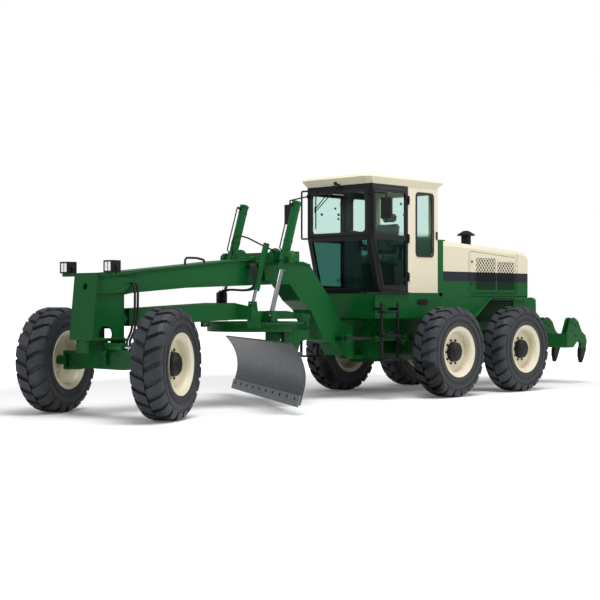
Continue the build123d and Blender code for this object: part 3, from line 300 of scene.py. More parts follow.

# %% [markdown]
# Tread blocks are paler grey on their outer faces: partly real scuffing, partly painted highlight
# that makes the block tops read as lit against the dark grooves. A wheel's own origin is at its
# hub, so the distance from the axle tells the shader where a block meets the road.

# %% Tread scuffing and painted highlight
effect = Effect("tread_scuff_and_highlight", ("Color", "Mask"), Rubber=(0.02, 0.02, 0.02, 1), Scuffed=(0.1, 0.1, 0.12, 1),
                From=0.655, To=0.668)
rubber, scuffed_and_lit, band_from, band_to = effect.given
x, y, z = effect.xyz
radius = (x * x + z * z).math("SQRT")
band = add_node(effect.tree, "MapRange", {"Value": radius, "From Min": band_from, "From Max": band_to})
# The paler outer band is partly scuffing and partly painted highlight on the block tops.
mask = (effect.noise(14.0) * 0.6 + 0.5) * band.outputs["Result"]
tread_scuff_and_highlight = effect.end(Color=mask.blend(rubber, scuffed_and_lit), Mask=mask)

# %% [markdown]
# Punched sheet covers the engine's air openings. Rows of holes, each row shifted by half a
# step, come from two waves across the sheet, so no hole has to be cut. The mask is 1 in the
# holes of a sheet that stands along X and Z, and the holes are later painted near-black as
# painted shade for the engine bay behind them.

# %% Punched sheet
effect = Effect("punched_sheet", ("Holes",), Pitch=0.022)
x, y, z = effect.xyz
step = 2 * pi / effect.given[0]
waves = ((x + z) * step).math("COSINE") + ((x - z) * step).math("COSINE")
hole_level = 0.15
punched_sheet = effect.end(Holes=waves > hole_level)

# %% [markdown]
# Seat cloth is woven. Two crossed waves, one for each thread direction, give its height.

# %% Woven cloth
effect = Effect("weave", ("Height",), Threads=700.0)
x, y, z = effect.xyz
threads = effect.given[0]
weave = effect.end(Height=((x + z) * threads).math("SINE") * (y * threads).math("SINE"))

# %% [markdown]
# The blade is scoured bright in long streaks where earth rolls up its face. Noise stretched
# along the blade gives these streaks.

# %% Scour marks
effect = Effect("scour", ("Color", "Height"), Steel=(0.1, 0.1, 0.1, 1), Bright=(0.3, 0.3, 0.3, 1), Amount=0.5)
steel, bright, amount = effect.given
stretch = add_node(effect.tree, "Mapping", {"Vector": effect.position, "Rotation": (0, 0, radians(30)),
                                            "Scale": (14.0, 1.2, 14.0)})
streaks = effect.noise(2.0, 6.0, stretch.outputs[0])
sharp = ((streaks - 0.45) * 4.0).math("MAXIMUM", 0.0).math("MINIMUM", 1.0)
scour = effect.end(Color=(sharp * amount).blend(steel, bright), Height=streaks)

# %% [markdown]
# ## Finishes
# Each material keeps its own Principled BSDF. A small helper starts one and places a group in
# its tree; colours, roughness and bump are then joined up for each finish in turn.

# %% Helpers for materials
def start_material(name, roughness, metallic=0.0, **others):
    """Material with its Principled shader set to plain values."""
    material = bpy.data.materials.new(name)
    material.use_nodes = True
    tree = material.node_tree
    shader = tree.nodes["Principled BSDF"]
    fill_named(tree, shader, {"Roughness": roughness, "Metallic": metallic, **others})
    return material, tree, shader


def place_group(tree, group, **values):
    """Group node in a material, its inputs set by name."""
    node = add_node(tree, "Group", node_tree=group)
    fill_named(tree, node, values)
    return node


def colour_by(tree, shader, group, **values):
    """Group node whose colour is the surface's own."""
    node = place_group(tree, group, **values)
    tree.links.new(node.outputs["Color"], shader.inputs["Base Color"])
    return node


def add_bump(tree, shader, group_node, distance, strength=0.5):
    """Bump node between a group's height and the shader."""
    bump = add_node(tree, "Bump", {"Distance": distance, "Strength": strength,
                                   "Height": group_node.outputs["Height"]})
    tree.links.new(bump.outputs[0], shader.inputs["Normal"])


def dusty_finish(name, colour, roughness, dust, shine, ripple_scale=90.0, ripple_depth=0.0008):
    """Paint or casting with dust over it and a ripple in it."""
    material, tree, shader = start_material(name, roughness, Specular_IOR_Level=shine)
    dusty = colour_by(tree, shader, road_dust, Paint=colour, Amount=dust)
    duller = Wire(tree, dusty.outputs["Mask"]) * 0.5 + roughness
    fill(tree, shader.inputs["Roughness"], duller)
    add_bump(tree, shader, place_group(tree, ripple, Scale=ripple_scale), ripple_depth)
    return material, tree, dusty


# %% [markdown]
# Paints come first. Where a solid wears several colours, a group that chooses among them feeds
# the dust group's paint. The hood's front is painted green as a collar that meets the cab.

# %% Paints
green = (0.0035, 0.094, 0.019, 1)
cream = (0.76, 0.7, 0.53, 1)
stripe_black = (0.016, 0.019, 0.025, 1)
trim_black = (0.005, 0.006, 0.0075, 1)

green_paint = dusty_finish("green_paint", green, 0.27, 0.02, 0.25)[0]
cream_paint = dusty_finish("cream_paint", cream, 0.34, 0.03, 0.35)[0]
black_paint = dusty_finish("black_paint", trim_black, 0.38, 0.03, 0.25)[0]
engine_iron = dusty_finish("engine_iron", (0.03, 0.03, 0.033, 1), 0.65, 0.2, 0.3, 30.0, 0.003)[0]
plastic_black = dusty_finish("black_plastic", (0.006, 0.0065, 0.0075, 1), 0.4, 0.03, 0.25, 400.0, 0.0004)[0]
hose_rubber = dusty_finish("hose_rubber", (0.013, 0.013, 0.014, 1), 0.5, 0.1, 0.3, 200.0, 0.0006)[0]
cab_trim = dusty_finish("cab_trim", (0.115, 0.13, 0.13, 1), 0.6, 0.05, 0.2, 300.0, 0.0006)[0]
shaded_green = dusty_finish("shaded_green", (0.002, 0.026, 0.007, 1), 0.6, 0.03, 0.1)[0]

hood_livery, tree, dusty = dusty_finish("hood_livery", cream, 0.33, 0.03, 0.25)
bands = place_group(tree, livery, Upper=cream, Stripe=stripe_black, Lower=green)
collar = place_group(tree, front_split, Ahead=green, Behind=bands.outputs["Color"], Station=-1.425,
                     Lining_half_width=0.0)
tree.links.new(collar.outputs["Color"], dusty.inputs["Paint"])

ripper_paint, tree, dusty = dusty_finish("ripper_paint", green, 0.3, 0.06, 0.3)
bands = place_group(tree, livery, Upper=green, Stripe=trim_black, Lower=trim_black, Stripe_top=0.62)
tree.links.new(bands.outputs["Color"], dusty.inputs["Paint"])

cab_two_tone, tree, dusty = dusty_finish("cab_two_tone", cream, 0.34, 0.03, 0.25)
split = place_group(tree, front_split, Ahead=trim_black, Behind=cream, Station=-0.568, Lining=trim_black)
tree.links.new(split.outputs["Color"], dusty.inputs["Paint"])

grille_livery, tree, dusty = dusty_finish("grille_livery", cream, 0.6, 0.0, 0.1)
bands = place_group(tree, livery, Upper=(0.7, 0.65, 0.5, 1), Stripe=(0.008, 0.012, 0.012, 1),
                    Lower=(0.004, 0.045, 0.012, 1))
holes = Wire(tree, place_group(tree, punched_sheet, Pitch=0.074).outputs["Holes"])
# Painted shade: the holes are near-black, standing in for the dark engine bay seen through them.
fill(tree, dusty.inputs["Paint"], holes.blend(bands.outputs["Color"], (0.008, 0.008, 0.008, 1)))
print(len(bpy.data.materials), "paints ready")

# %% [markdown]
# Bare steel, rubber, glass and cloth are not painted, so each sets its own shader.

# %% Steel, rubber, glass and cloth
blade_steel, tree, shader = start_material("blade_steel", 0.42, 0.55)
scoured = colour_by(tree, shader, scour, Steel=(0.075, 0.084, 0.096, 1), Bright=(0.17, 0.185, 0.205, 1))
add_bump(tree, shader, scoured, 0.001)

edge_steel, tree, shader = start_material("edge_steel", 0.38, 0.7)
scoured = colour_by(tree, shader, scour, Steel=(0.2, 0.22, 0.25, 1), Bright=(0.36, 0.38, 0.42, 1), Amount=0.6)
add_bump(tree, shader, scoured, 0.001)

chrome_rod, tree, shader = start_material("chrome_rod", 0.12, 1.0)
colour_by(tree, shader, road_dust, Paint=(0.68, 0.69, 0.71, 1), Amount=0.15)

zinc_bolt, tree, shader = start_material("zinc_bolt", 0.35, 0.8)
colour_by(tree, shader, road_dust, Paint=(0.3, 0.3, 0.31, 1), Amount=0.4)

tyre_rubber, tree, shader = start_material("tyre_rubber", 0.5, Specular_IOR_Level=0.32)
# The paler outer faces carry painted highlight as well as wear.
colour_by(tree, shader, tread_scuff_and_highlight, Rubber=(0.0034, 0.0042, 0.0052, 1), Scuffed=(0.046, 0.051, 0.06, 1))
add_bump(tree, shader, place_group(tree, ripple, Scale=120.0, Coarse=0.8), 0.002)

window_glass, tree, shader = start_material("window_glass", 0.03, Transmission_Weight=1.0, IOR=1.12)
# The lower colour is painted shade for the dark cab seen through the glass.
colour_by(tree, shader, pane_painted_shade, Upper=(0.74, 0.88, 0.84, 1), Lower=(0.17, 0.35, 0.31, 1))

seat_cloth, tree, shader = start_material("seat_cloth", 0.85, Sheen_Weight=0.3)
colour_by(tree, shader, road_dust, Paint=(0.22, 0.24, 0.25, 1), Amount=0.25, Reach=4.0)
add_bump(tree, shader, place_group(tree, weave), 0.001)

# Painted light: the lens is made to glow faintly, as a sheen on the glass, not as a working lamp.
lamp_lens, tree, shader = start_material("lamp_lens", 0.12, Base_Color=(0.82, 0.84, 0.87, 1),
                                         Emission_Color=(0.9, 0.93, 1.0, 1), Emission_Strength=0.25)
add_bump(tree, shader, place_group(tree, ripple, Scale=160.0), 0.004, 1.0)

# %% [markdown]
# Every solid that keeps its own shape gets the finish of the real part.

# %% Finishes on the solids
by_node = {
    "cab_shell": cab_two_tone, "cab_roof": cream_paint, "hood": hood_livery, "engine": engine_iron,
    "moldboard": blade_steel, "cutting_edge": edge_steel, "cab_glass": window_glass,
    "seat_cushions": seat_cloth, "work_lamps": plastic_black, "cab_interior": cab_trim,
    "frame_hoses": hose_rubber,
}
by_start = {
    "engine_door": hood_livery, "ripper_rod": chrome_rod, "ripper_barrel": green_paint,
    "ripper": ripper_paint, "rim_": cream_paint, "tyre_": tyre_rubber, "door_glass": window_glass,
    "cab_door": black_paint, "mirrors": black_paint, "ladders": black_paint, "hood_stacks": plastic_black,
    "radiator_grille": black_paint, "circle_drive": black_paint, "articulation_rod": hose_rubber,
    "steering_rod": chrome_rod, "tip_rod": chrome_rod, "lift_rods": chrome_rod, "shift_rod": chrome_rod,
}


def finish_for(node):
    """Material of a solid, by its name or by how its name starts."""
    if node in by_node:
        return by_node[node]
    return next((material for start, material in by_start.items() if node.startswith(start)), green_paint)


for node, solid in nodes.items():
    solid.data.materials.clear()
    solid.data.materials.append(finish_for(node))
    for face in solid.data.polygons:
        face.material_index = 0
print(len(nodes), "solids finished")

# %% [markdown]
# ## Making pieces
# Everything below is modelled in mesh code. Turned parts come from a profile spun about an
# axis, plates from an outline pushed through its thickness, and bent rods from a curve with a
# round section. One function ends each mesh: it eases the edges and ties it to a body.

# %% Helpers for pieces
FRONT_AXLE_X = 4.465
SIDES = ((1, "left"), (-1, "right"))
AHEAD, UP = Vector((1, 0, 0)), Vector((0, 0, 1))


def spot(x, y, z):
    """Point measured from the front axle, the machine's middle and the ground."""
    return Vector((FRONT_AXLE_X + x, y, z))


def spots(side, y, outline):
    """Points of a side-view outline, a distance out from the machine's middle."""
    return [spot(x, side * y, z) for x, z in outline]


def ride_as(piece, material, body):
    """Put a piece in the scene with its material and body."""
    scene.collection.objects.link(piece)
    piece.data.materials.append(material)
    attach(piece, body)
    return piece


def finish(name, form, material, body, soften=0.0):
    """Turn a bmesh into a piece with eased edges."""
    bmesh.ops.recalc_face_normals(form, faces=form.faces)
    mesh = bpy.data.meshes.new(name)
    form.to_mesh(mesh)
    form.free()
    for face in mesh.polygons:
        face.use_smooth = True
    mesh.set_sharp_from_angle(angle=radians(35))
    piece = ride_as(bpy.data.objects.new(name, mesh), material, body)
    if soften:
        easing = piece.modifiers.new("eased_edges", "BEVEL")
        easing.width = soften
        easing.segments = 2
        easing.limit_method = "ANGLE"
        easing.angle_limit = radians(40)
    return piece


def join_rings(form, rings):
    """Faces between each ring of vertices and the next one."""
    for near, far in zip(rings, rings[1:]):
        for step in range(len(near)):
            after = (step + 1) % len(near)
            form.faces.new((near[step], near[after], far[after], far[step]))


def ring_points(centre, axis, radius, count, start=0.0, distance=0.0):
    """Points evenly round a circle, a distance along its axis."""
    turn = Vector(axis).to_track_quat("Z", "Y").to_matrix()
    angles = [start + 2 * pi * step / count for step in range(count)]
    return [Vector(centre) + turn @ Vector((radius * cos(a), radius * sin(a), distance)) for a in angles]


def add_lathe(form, centre, axis, profile, steps=28, capped=True):
    """Turned shape; the profile gives pairs of radius and distance along the axis."""
    rings = [[form.verts.new(point) for point in ring_points(centre, axis, radius, steps, 0.0, distance)]
             for radius, distance in profile]
    join_rings(form, rings)
    if capped:
        form.faces.new(rings[0][::-1])
        form.faces.new(rings[-1])


def add_plate(form, corners, depth):
    """Flat outline pushed along a vector."""
    near = [form.verts.new(Vector(corner)) for corner in corners]
    far = [form.verts.new(Vector(corner) + Vector(depth)) for corner in corners]
    form.faces.new(near[::-1])
    form.faces.new(far)
    join_rings(form, [near, far])


def side_plate(form, side, y, outline, depth):
    """Upright plate on one side of the machine, from its side-view outline."""
    add_plate(form, spots(side, y, outline), (0, side * depth, 0))


def add_box(form, low, high):
    """Box between two corners."""
    (x0, y0, z0), (x1, y1, z1) = low, high
    add_plate(form, [(x0, y0, z0), (x1, y0, z0), (x1, y1, z0), (x0, y1, z0)], (0, 0, z1 - z0))


def side_box(form, side, x_range, y_range, z_range):
    """Box on one side of the machine, its Y range given as on the left."""
    (x0, x1), (y0, y1), (z0, z1) = x_range, sorted(side * y for y in y_range), z_range
    add_box(form, spot(x0, y0, z0), spot(x1, y1, z1))


def mirrored(name, shapes, material, body, soften=0.0):
    """Shapes made on both sides of the machine, as one piece."""
    form = bmesh.new()
    for side, word in SIDES:
        for add_shape, *values in shapes:
            add_shape(form, side, *values)
    finish(name, form, material, body, soften)


def turned(name, places, axis, profile, steps, material, body, soften=0.0):
    """The same turned shape at one or more places, as one piece."""
    form = bmesh.new()
    for place in places:
        add_lathe(form, place, axis, profile, steps)
    finish(name, form, material, body, soften)


def bolts(name, places, axis, size, body, material=None):
    """Hexagon heads on washers, many as one piece."""
    washer = [(size * 1.3, -0.002), (size * 1.3, size * 0.2), (size * 1.2, size * 0.25)]
    head = [(size, size * 0.2), (size, size * 0.8), (size * 0.8, size * 0.95)]
    form = bmesh.new()
    for place in places:
        add_lathe(form, place, axis, washer, 14)
        add_lathe(form, place, axis, head, 6)
    finish(name, form, material or zinc_bolt, body)


def smooth_curve(name, points, fineness):
    """Curve without a thickness that starts and ends on its points."""
    curve = bpy.data.curves.new(name, "CURVE")
    curve.dimensions = "3D"
    curve.resolution_u = fineness
    curve.bevel_resolution = 3
    curve.use_fill_caps = True
    spline = curve.splines.new("NURBS")
    spline.points.add(len(points) - 1)
    for knot, point in zip(spline.points, points):
        knot.co = (*point, 1)
    spline.order_u = 3
    spline.use_endpoint_u = True
    return curve


def rod_line(name, points, radius, material, body, bend=0.0):
    """Steel rod or pipe along a curve; bend keeps straight runs between tight corners."""
    route = [Vector(point) for point in points]
    if bend:
        eased = [route[0]]
        for before, corner, after in zip(route, route[1:], route[2:]):
            eased += [corner + (before - corner).normalized() * bend, corner,
                      corner + (after - corner).normalized() * bend]
        route = eased + [route[-1]]
    curve = smooth_curve(name, route, 8)
    curve.bevel_depth = radius
    return ride_as(bpy.data.objects.new(name, curve), material, body)


def corner_ways(corners):
    """Each corner of a flat polygon with the directions back and ahead along its edges."""
    for index, corner in enumerate(corners):
        ahead = corners[(index + 1) % len(corners)]
        yield corner, (corners[index - 1] - corner).normalized(), (ahead - corner).normalized()


def rounded_loop(corners, radius, steps=6):
    """Outline with each corner of a flat polygon rounded off."""
    loop = []
    for corner, back, ahead in corner_ways(corners):
        start, end = corner + back * radius, corner + ahead * radius
        for step in range(steps + 1):
            t = step / steps
            loop.append(start * (1 - t) ** 2 + corner * 2 * t * (1 - t) + end * t**2)
    return loop


def inset_corners(corners, distance):
    """Corners of a flat polygon moved inwards by a distance."""
    return [corner + (back + ahead) * distance / back.cross(ahead).length
            for corner, back, ahead in corner_ways(corners)]


def add_gasket(form, corners, border, rounding, depth, outer_rounding=0.012):
    """Frame round an opening, with its own rounding outside and inside."""
    outer = rounded_loop(corners, outer_rounding)
    inner = rounded_loop(inset_corners(corners, border), rounding)
    push = Vector(depth)
    loops = [[form.verts.new(point) for point in ring] for ring in
             (outer, inner, [p + push for p in inner], [p + push for p in outer])]
    join_rings(form, loops + loops[:1])


joints = {joint["name"]: joint for joint in frame["record"]["behaviour"]["joints"]}
print(len(joints), "joints give the places of wheels and hinges")

# %% [markdown]
# ## Wheels
# A dark cap closes each hub, and a ring of nuts holds the rim to it. They are turned about the
# wheel's own axle, which the joint gives, so the steered wheels need no angles here. Each
# wheel also has a valve, and ribs on the tyre's walls that guard it from kerbs.

# %% Hub caps, nuts, valves and tyre ribs
hub_profile = [(0.004, 0.152), (0.11, 0.152), (0.113, 0.067), (0.152, 0.066), (0.139, 0.134), (0.116, 0.153),
               (0.094, 0.155), (0.088, 0.166), (0.05, 0.172), (0.012, 0.173)]
nut_ring, nut_count, dish_face = 0.176, 10, 0.069
cap_ring, cap_bolt_count, cap_face = 0.102, 8, 0.155
rib_radii, wall_out, rib_out = (0.455, 0.478, 0.548), 0.196, 0.2055
valve_ring, valve_out = 0.265, 0.062

for joint_name, joint in joints.items():
    if not joint_name.startswith("wheel_"):
        continue
    body = joint["child"]
    hub = Vector(joint["pos_m"])
    outward = Vector(joint["axis"]) * (1 if hub.y > 0 else -1)
    turned(body + "_hub_cap", [hub], outward, hub_profile, 36, plastic_black, body, 0.002)
    nut_places = ring_points(hub + outward * dish_face, outward, nut_ring, nut_count)
    cap_places = ring_points(hub + outward * cap_face, outward, cap_ring, cap_bolt_count)
    bolts(body + "_nuts", nut_places, outward, 0.016, body, plastic_black)
    bolts(body + "_cap_bolts", cap_places, outward, 0.007, body, plastic_black)
    form = bmesh.new()
    for radius in rib_radii:
        rib = [(radius - 0.006, wall_out), (radius - 0.003, rib_out), (radius + 0.003, rib_out),
               (radius + 0.006, wall_out)]
        for wall in (outward, -outward):
            add_lathe(form, hub, wall, rib, 72, capped=False)
    finish(body + "_wall_ribs", form, hose_rubber, body)
    across = outward.cross(UP)
    valve = hub + across * valve_ring + outward * valve_out
    rod_line(body + "_valve", [valve, valve + outward * 0.03, valve + outward * 0.06 - across * 0.02], 0.006,
             hose_rubber, body)
print("six wheels dressed")

# %% [markdown]
# ## Work lamps
# Each lamp is a cast box with a bezel, two square lens cells and cooling ribs behind. It hangs
# in a bent strap with a thumb knob on each side, so the driver can tip it.

# %% Work lamps
(back_x, _, low_z), (face_x, high_y, high_z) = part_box("work_lamps")
lamp_half = 0.078
bezel, rib_count, rib_pitch = 0.016, 7, 0.02
cell_offset, cell_half = 0.031, 0.027
square = ((-1, -1), (1, -1), (1, 1), (-1, 1))
knob = [(0.016, -0.002), (0.018, 0.008), (0.018, 0.018), (0.008, 0.022)]
strap = [(-0.06, 1, 0.07), (-0.06, 1, -0.012), (-0.06, -1, -0.012), (-0.06, -1, 0.07)]

for side, word in SIDES:
    middle_y = side * (high_y - lamp_half)
    corners = [Vector((face_x - 0.004, middle_y + dy * lamp_half, high_z if dz > 0 else low_z))
               for dy, dz in square]
    form = bmesh.new()
    add_gasket(form, corners, bezel, 0.014, (0.014, 0, 0))
    add_box(form, (face_x - 0.002, middle_y - 0.004, low_z + 0.01),
            (face_x + 0.009, middle_y + 0.004, high_z - 0.01))
    for rib in range(rib_count):
        y = middle_y + (rib - (rib_count - 1) / 2) * rib_pitch
        add_box(form, (back_x - 0.014, y - 0.003, low_z + 0.02), (back_x + 0.004, y + 0.003, high_z - 0.02))
    for end in (1, -1):
        add_lathe(form, (face_x - 0.06, middle_y + end * lamp_half, low_z + 0.07), (0, end, 0), knob, 12)
    finish("lamp_housing_" + word, form, plastic_black, "front_frame", 0.002)
    form = bmesh.new()
    for cell in (1, -1):
        middle = Vector((face_x - 0.001, middle_y + cell * cell_offset, (low_z + high_z) / 2))
        half_tall = (high_z - low_z) / 2 - 0.018
        loop = [middle + Vector((0, dy * cell_half, dz * half_tall)) for dy, dz in square]
        add_plate(form, rounded_loop(loop, 0.01, 3), (0.007, 0, 0))
    finish("lamp_lens_" + word, form, lamp_lens, "front_frame", 0.003)
    rod_line("lamp_strap_" + word,
             [(face_x + x, middle_y + end * (lamp_half + 0.01), low_z + z) for x, end, z in strap],
             0.005, black_paint, "front_frame", 0.012)
print("two lamps dressed")

# %% [markdown]
# ## Post and beam
# Plates, bolts and a lifting eye show how the front frame is put together. The bolts
# sit where one casting meets the next, and the gussets stiffen the corner of post and beam.

# %% Front frame fittings
post_plates = [
    (side_plate, 0.212, [(-0.02, 1.515), (0.03, 1.545), (-0.28, 1.69), (-0.31, 1.655)], 0.014),
    (side_plate, 0.212, [(-0.075, 0.945), (0.42, 0.945), (0.41, 0.975), (-0.075, 0.975)], 0.012),
    (side_plate, 0.208, [(0.352, 1.738), (0.432, 0.95), (0.404, 0.95), (0.324, 1.738)], 0.026),
    (side_plate, 0.208, [(0.372, 1.505), (-0.07, 1.53), (-0.07, 1.552), (0.37, 1.527)], 0.03),
    (side_plate, 0.208, [(0.31, 1.705), (0.318, 1.728), (-0.3, 1.8), (-0.3, 1.776)], 0.02),
]
mirrored("post_gussets", post_plates, green_paint, "front_frame", 0.003)

saddle_places = [spot(0.406, y, z) for y in (-0.09, 0.09) for z in (0.825, 0.875, 0.925)]
bolts("axle_saddle_bolts", saddle_places, AHEAD, 0.012, "front_frame", material=green_paint)
cheek_places = [spot(x, 0.226, 0.96) for x in (0.0, 0.1, 0.2, 0.3)]
bolts("post_cheek_bolts", cheek_places, (0, 1, 0), 0.01, "front_frame", material=green_paint)

form = bmesh.new()
add_lathe(form, spot(-0.15, 0, 1.265), UP, [(0.05, -0.02), (0.05, 0.0), (0.03, 0.01)], 20)
for x in (-2.35, -2.75):
    for y in (-0.1, 0.1):
        add_lathe(form, spot(x, y, 1.99), UP, [(0.045, -0.02), (0.045, 0.03), (0.036, 0.04)], 20)
finish("beam_bosses", form, green_paint, "front_frame", 0.002)

eye_route = [(0.06, 1.975), (0.06, 2.05), (0.0, 2.075), (-0.06, 2.05), (-0.06, 1.975)]
rod_line("lifting_eye", [spot(-3.22, y, z) for y, z in eye_route], 0.011, black_paint, "front_frame")
print("front frame fitted out")

# %% [markdown]
# ## Lift cylinders
# Two upright cylinders lift the drawbar. A steel pipe runs down the front of each barrel and
# feeds oil to its lower end. Caps close the barrels, and covers close the swivel bearings.

# %% Pipes, caps and bearing covers
lift_pivot_x, lift_pivot_z, lift_y = -2.55, 2.02, 0.52
lift_line = (spot(-2.304, 0, 1.25) - spot(lift_pivot_x, 0, lift_pivot_z)).normalized()
lift_ahead = Vector((0, 1, 0)).cross(lift_line)
lift_ahead *= 1 if lift_ahead.x > 0 else -1
barrel_above, pipe_out, cover_y = 0.79, 0.125, 0.667
cap_profile = [(0.066, 0.0), (0.066, 0.034), (0.058, 0.04), (0.024, 0.042), (0.022, 0.052)]
cover_profile = [(0.082, -0.002), (0.082, 0.01), (0.07, 0.016), (0.02, 0.018)]
fitting_profile = [(0.022, 0), (0.022, 0.03), (0.016, 0.034), (0.016, 0.06)]

for side, word in SIDES:
    pivot = spot(lift_pivot_x, side * lift_y, lift_pivot_z)
    top = pivot - lift_line * barrel_above
    port = top + lift_line * 0.06
    form = bmesh.new()
    add_lathe(form, top + lift_line * 0.03, -lift_line, cap_profile, 32)
    for distance in (-0.7, -0.25):
        add_lathe(form, pivot + lift_line * distance, lift_line, [(0.0635, 0.0), (0.0635, 0.03)], 32)
    finish("lift_cap_" + word, form, green_paint, "lift_barrels", 0.002)
    pipe = [port + lift_ahead * 0.055, port + lift_ahead * pipe_out,
            pivot - lift_line * 0.09 + lift_ahead * pipe_out, pivot - lift_line * 0.05 + lift_ahead * 0.055]
    rod_line("lift_pipe_" + word, pipe, 0.009, black_paint, "lift_barrels", 0.03)
    turned("lift_fitting_" + word, [port + lift_ahead * 0.05], lift_ahead, fitting_profile, 16, black_paint,
           "lift_barrels", 0.002)
    cover = spot(lift_pivot_x, side * cover_y, lift_pivot_z)
    turned("bearing_cover_" + word, [cover], (0, side, 0), cover_profile, 32, green_paint, "front_frame",
           0.002)
    cover_places = ring_points(cover + Vector((0, side * 0.012, 0)), (0, side, 0), 0.062, 6)
    bolts("bearing_bolts_" + word, cover_places, (0, side, 0), 0.009, "front_frame", material=green_paint)
print("lift cylinders fitted out")

# %% [markdown]
# ## The cab's outside
# Black rubber seals every fixed pane. A grab loop, a double-arm wiper, an aerial socket,
# latches and the small round clamps that hold the glass are all bought parts on a real cab.

# %% Seals, loop, wiper and handles
CAB = "rear_frame"
glass_x = spot(-4.216, 0, 0).x - 0.004


def rectangle(low, high):
    """Four corners of an upright outline, from two of them."""
    return [low, (high[0], low[1]), high, (low[0], high[1])]


form = bmesh.new()
for side, word in SIDES:
    pane = spots(side, 0.648, rectangle((-5.65, 2.088), (-5.21, 3.062)))
    add_gasket(form, pane, 0.032, 0.056, (0, side * 0.012, 0), 0.078)
finish("side_pane_seals", form, hose_rubber, CAB, 0.002)

form = bmesh.new()
windscreen = [Vector((glass_x, y, z)) for y, z in rectangle((-0.572, 2.383), (0.572, 3.062))]
add_gasket(form, windscreen, 0.05, 0.06, (0.02, 0, 0))
finish("windscreen_seal", form, hose_rubber, CAB, 0.003)

glass_clamps = [(glass_x, -0.34, 2.72), (glass_x, 0.0, 2.7)]
glass_profile = [(0.019, 0), (0.019, 0.014), (0.012, 0.02)]
turned("windscreen_clamps", glass_clamps, AHEAD, glass_profile, 16, hose_rubber, CAB)

loop_route = [(-4.21, -0.6, 3.085), (-4.185, -0.73, 3.085), (-4.185, -0.73, 2.365), (-4.21, -0.6, 2.365)]
rod_line("grab_loop", [spot(*point) for point in loop_route], 0.014, black_paint, CAB, 0.045)

wiper_pivot, wiper_grip = spot(-4.14, 0.0, 3.16), spot(-4.168, -0.43, 2.805)
upper_arm = [wiper_pivot, wiper_pivot + Vector((0.012, -0.03, -0.05)), wiper_grip]
lower_arm = [wiper_pivot + Vector((0, 0.045, -0.035)), wiper_pivot + Vector((0.01, 0.0, -0.1)),
             wiper_grip + Vector((0, 0, -0.04))]
rod_line("wiper_arm_upper", upper_arm, 0.0075, black_paint, CAB, 0.01)
rod_line("wiper_arm_lower", lower_arm, 0.0075, black_paint, CAB, 0.01)
form = bmesh.new()
add_box(form, wiper_grip + Vector((-0.018, -0.006, -0.3)), wiper_grip + Vector((-0.002, 0.006, 0.28)))
add_box(form, wiper_grip + Vector((-0.01, -0.012, -0.06)), wiper_grip + Vector((0.01, 0.012, 0.03)))
add_lathe(form, wiper_pivot - Vector((0.02, 0, 0)), AHEAD, [(0.03, -0.05), (0.03, 0.024), (0.02, 0.034)], 20)
add_lathe(form, wiper_pivot + Vector((-0.02, 0.05, -0.035)), AHEAD,
          [(0.022, -0.04), (0.022, 0.02), (0.015, 0.03)], 20)
finish("wiper_blade", form, hose_rubber, CAB, 0.001)

socket_profile = [(0.016, -0.02), (0.016, 0.0), (0.006, 0.003)]
turned("roof_socket", [spot(-4.3, -0.6, 3.262)], UP, socket_profile, 16, hose_rubber, CAB)

cab_side_y = 0.65
clamp_places = ((-4.86, 2.86), (-4.93, 2.7), (-4.93, 1.75))
clamp_profile = [(0.018, 0), (0.018, 0.012), (0.012, 0.016)]
handle_route = [(0.654, 2.2), (0.7, 2.2), (0.7, 1.98), (0.654, 1.98)]
for side, word in SIDES:
    door = "cab_door_" + word
    form = bmesh.new()
    side_box(form, side, (-5.735, -5.7), (cab_side_y, cab_side_y + 0.016), (2.36, 2.48))
    for z in (2.385, 2.455):
        add_lathe(form, spot(-5.7175, side * (cab_side_y + 0.014), z), (0, side, 0),
                  [(0.012, 0), (0.012, 0.008), (0.006, 0.01)], 12)
    finish("corner_latch_" + word, form, hose_rubber, CAB, 0.004)
    clamps = spots(side, 0.652, clamp_places)
    turned("door_clamps_" + word, clamps, (0, side, 0), clamp_profile, 16, hose_rubber, door)
    handle = [spot(-4.405, side * y, z) for y, z in handle_route]
    rod_line("door_handle_" + word, handle, 0.01, black_paint, door, 0.015)
    vent = spots(side, 0.6505, rectangle((-5.5, 1.372), (-5.25, 1.455)))
    form = bmesh.new()
    add_plate(form, rounded_loop(vent, 0.038), (0, side * 0.01, 0))
    for slat in range(4):
        z = 1.385 + slat * 0.019
        side_box(form, side, (-5.47, -5.28), (0.658, 0.67), (z, z + 0.007))
    finish("body_vent_" + word, form, plastic_black, CAB, 0.002)
print("cab fittings in place")

# %% [markdown]
# ## The cab's inside
# The seat is foam under cloth, so its cushions are blown up as cloth. The cushion's own faces
# are evened out first, and its swelling is held to a cap. A headrest, a side console with
# levers, a column and a wheel are what can be seen through the glass.

# %% Seat, console and levers
cloth_pressure, settle_frames, cell_size = 4, 20, 0.006
seat_lean = radians(-9)


def swell(cushion, cap):
    """Blow a cushion up as cloth, and hold each point's move to a cap."""
    cells = cushion.modifiers.new("even_cells", "REMESH")
    cells.mode = "VOXEL"
    cells.voxel_size = cell_size
    graph = bpy.context.evaluated_depsgraph_get()
    cushion.data = bpy.data.meshes.new_from_object(cushion.evaluated_get(graph))
    cushion.modifiers.clear()
    before = [vertex.co.copy() for vertex in cushion.data.vertices]
    cover = cushion.modifiers.new("cover", "CLOTH")
    cover.settings.use_pressure = True
    cover.settings.uniform_pressure_force = cloth_pressure
    cover.settings.effector_weights.gravity = 0
    for number in range(1, settle_frames + 1):
        scene.frame_set(number)
    graph = bpy.context.evaluated_depsgraph_get()
    moves = [vertex.co - start for vertex, start in zip(cushion.evaluated_get(graph).data.vertices, before)]
    cushion.modifiers.clear()
    scene.frame_set(1)
    for vertex, start, move in zip(cushion.data.vertices, before, moves):
        vertex.co = start + move * min(1, cap / max(move.length, 1e-6))
    print(cushion.name, "swells by", round(max(move.length for move in moves), 3), "m before the cap")


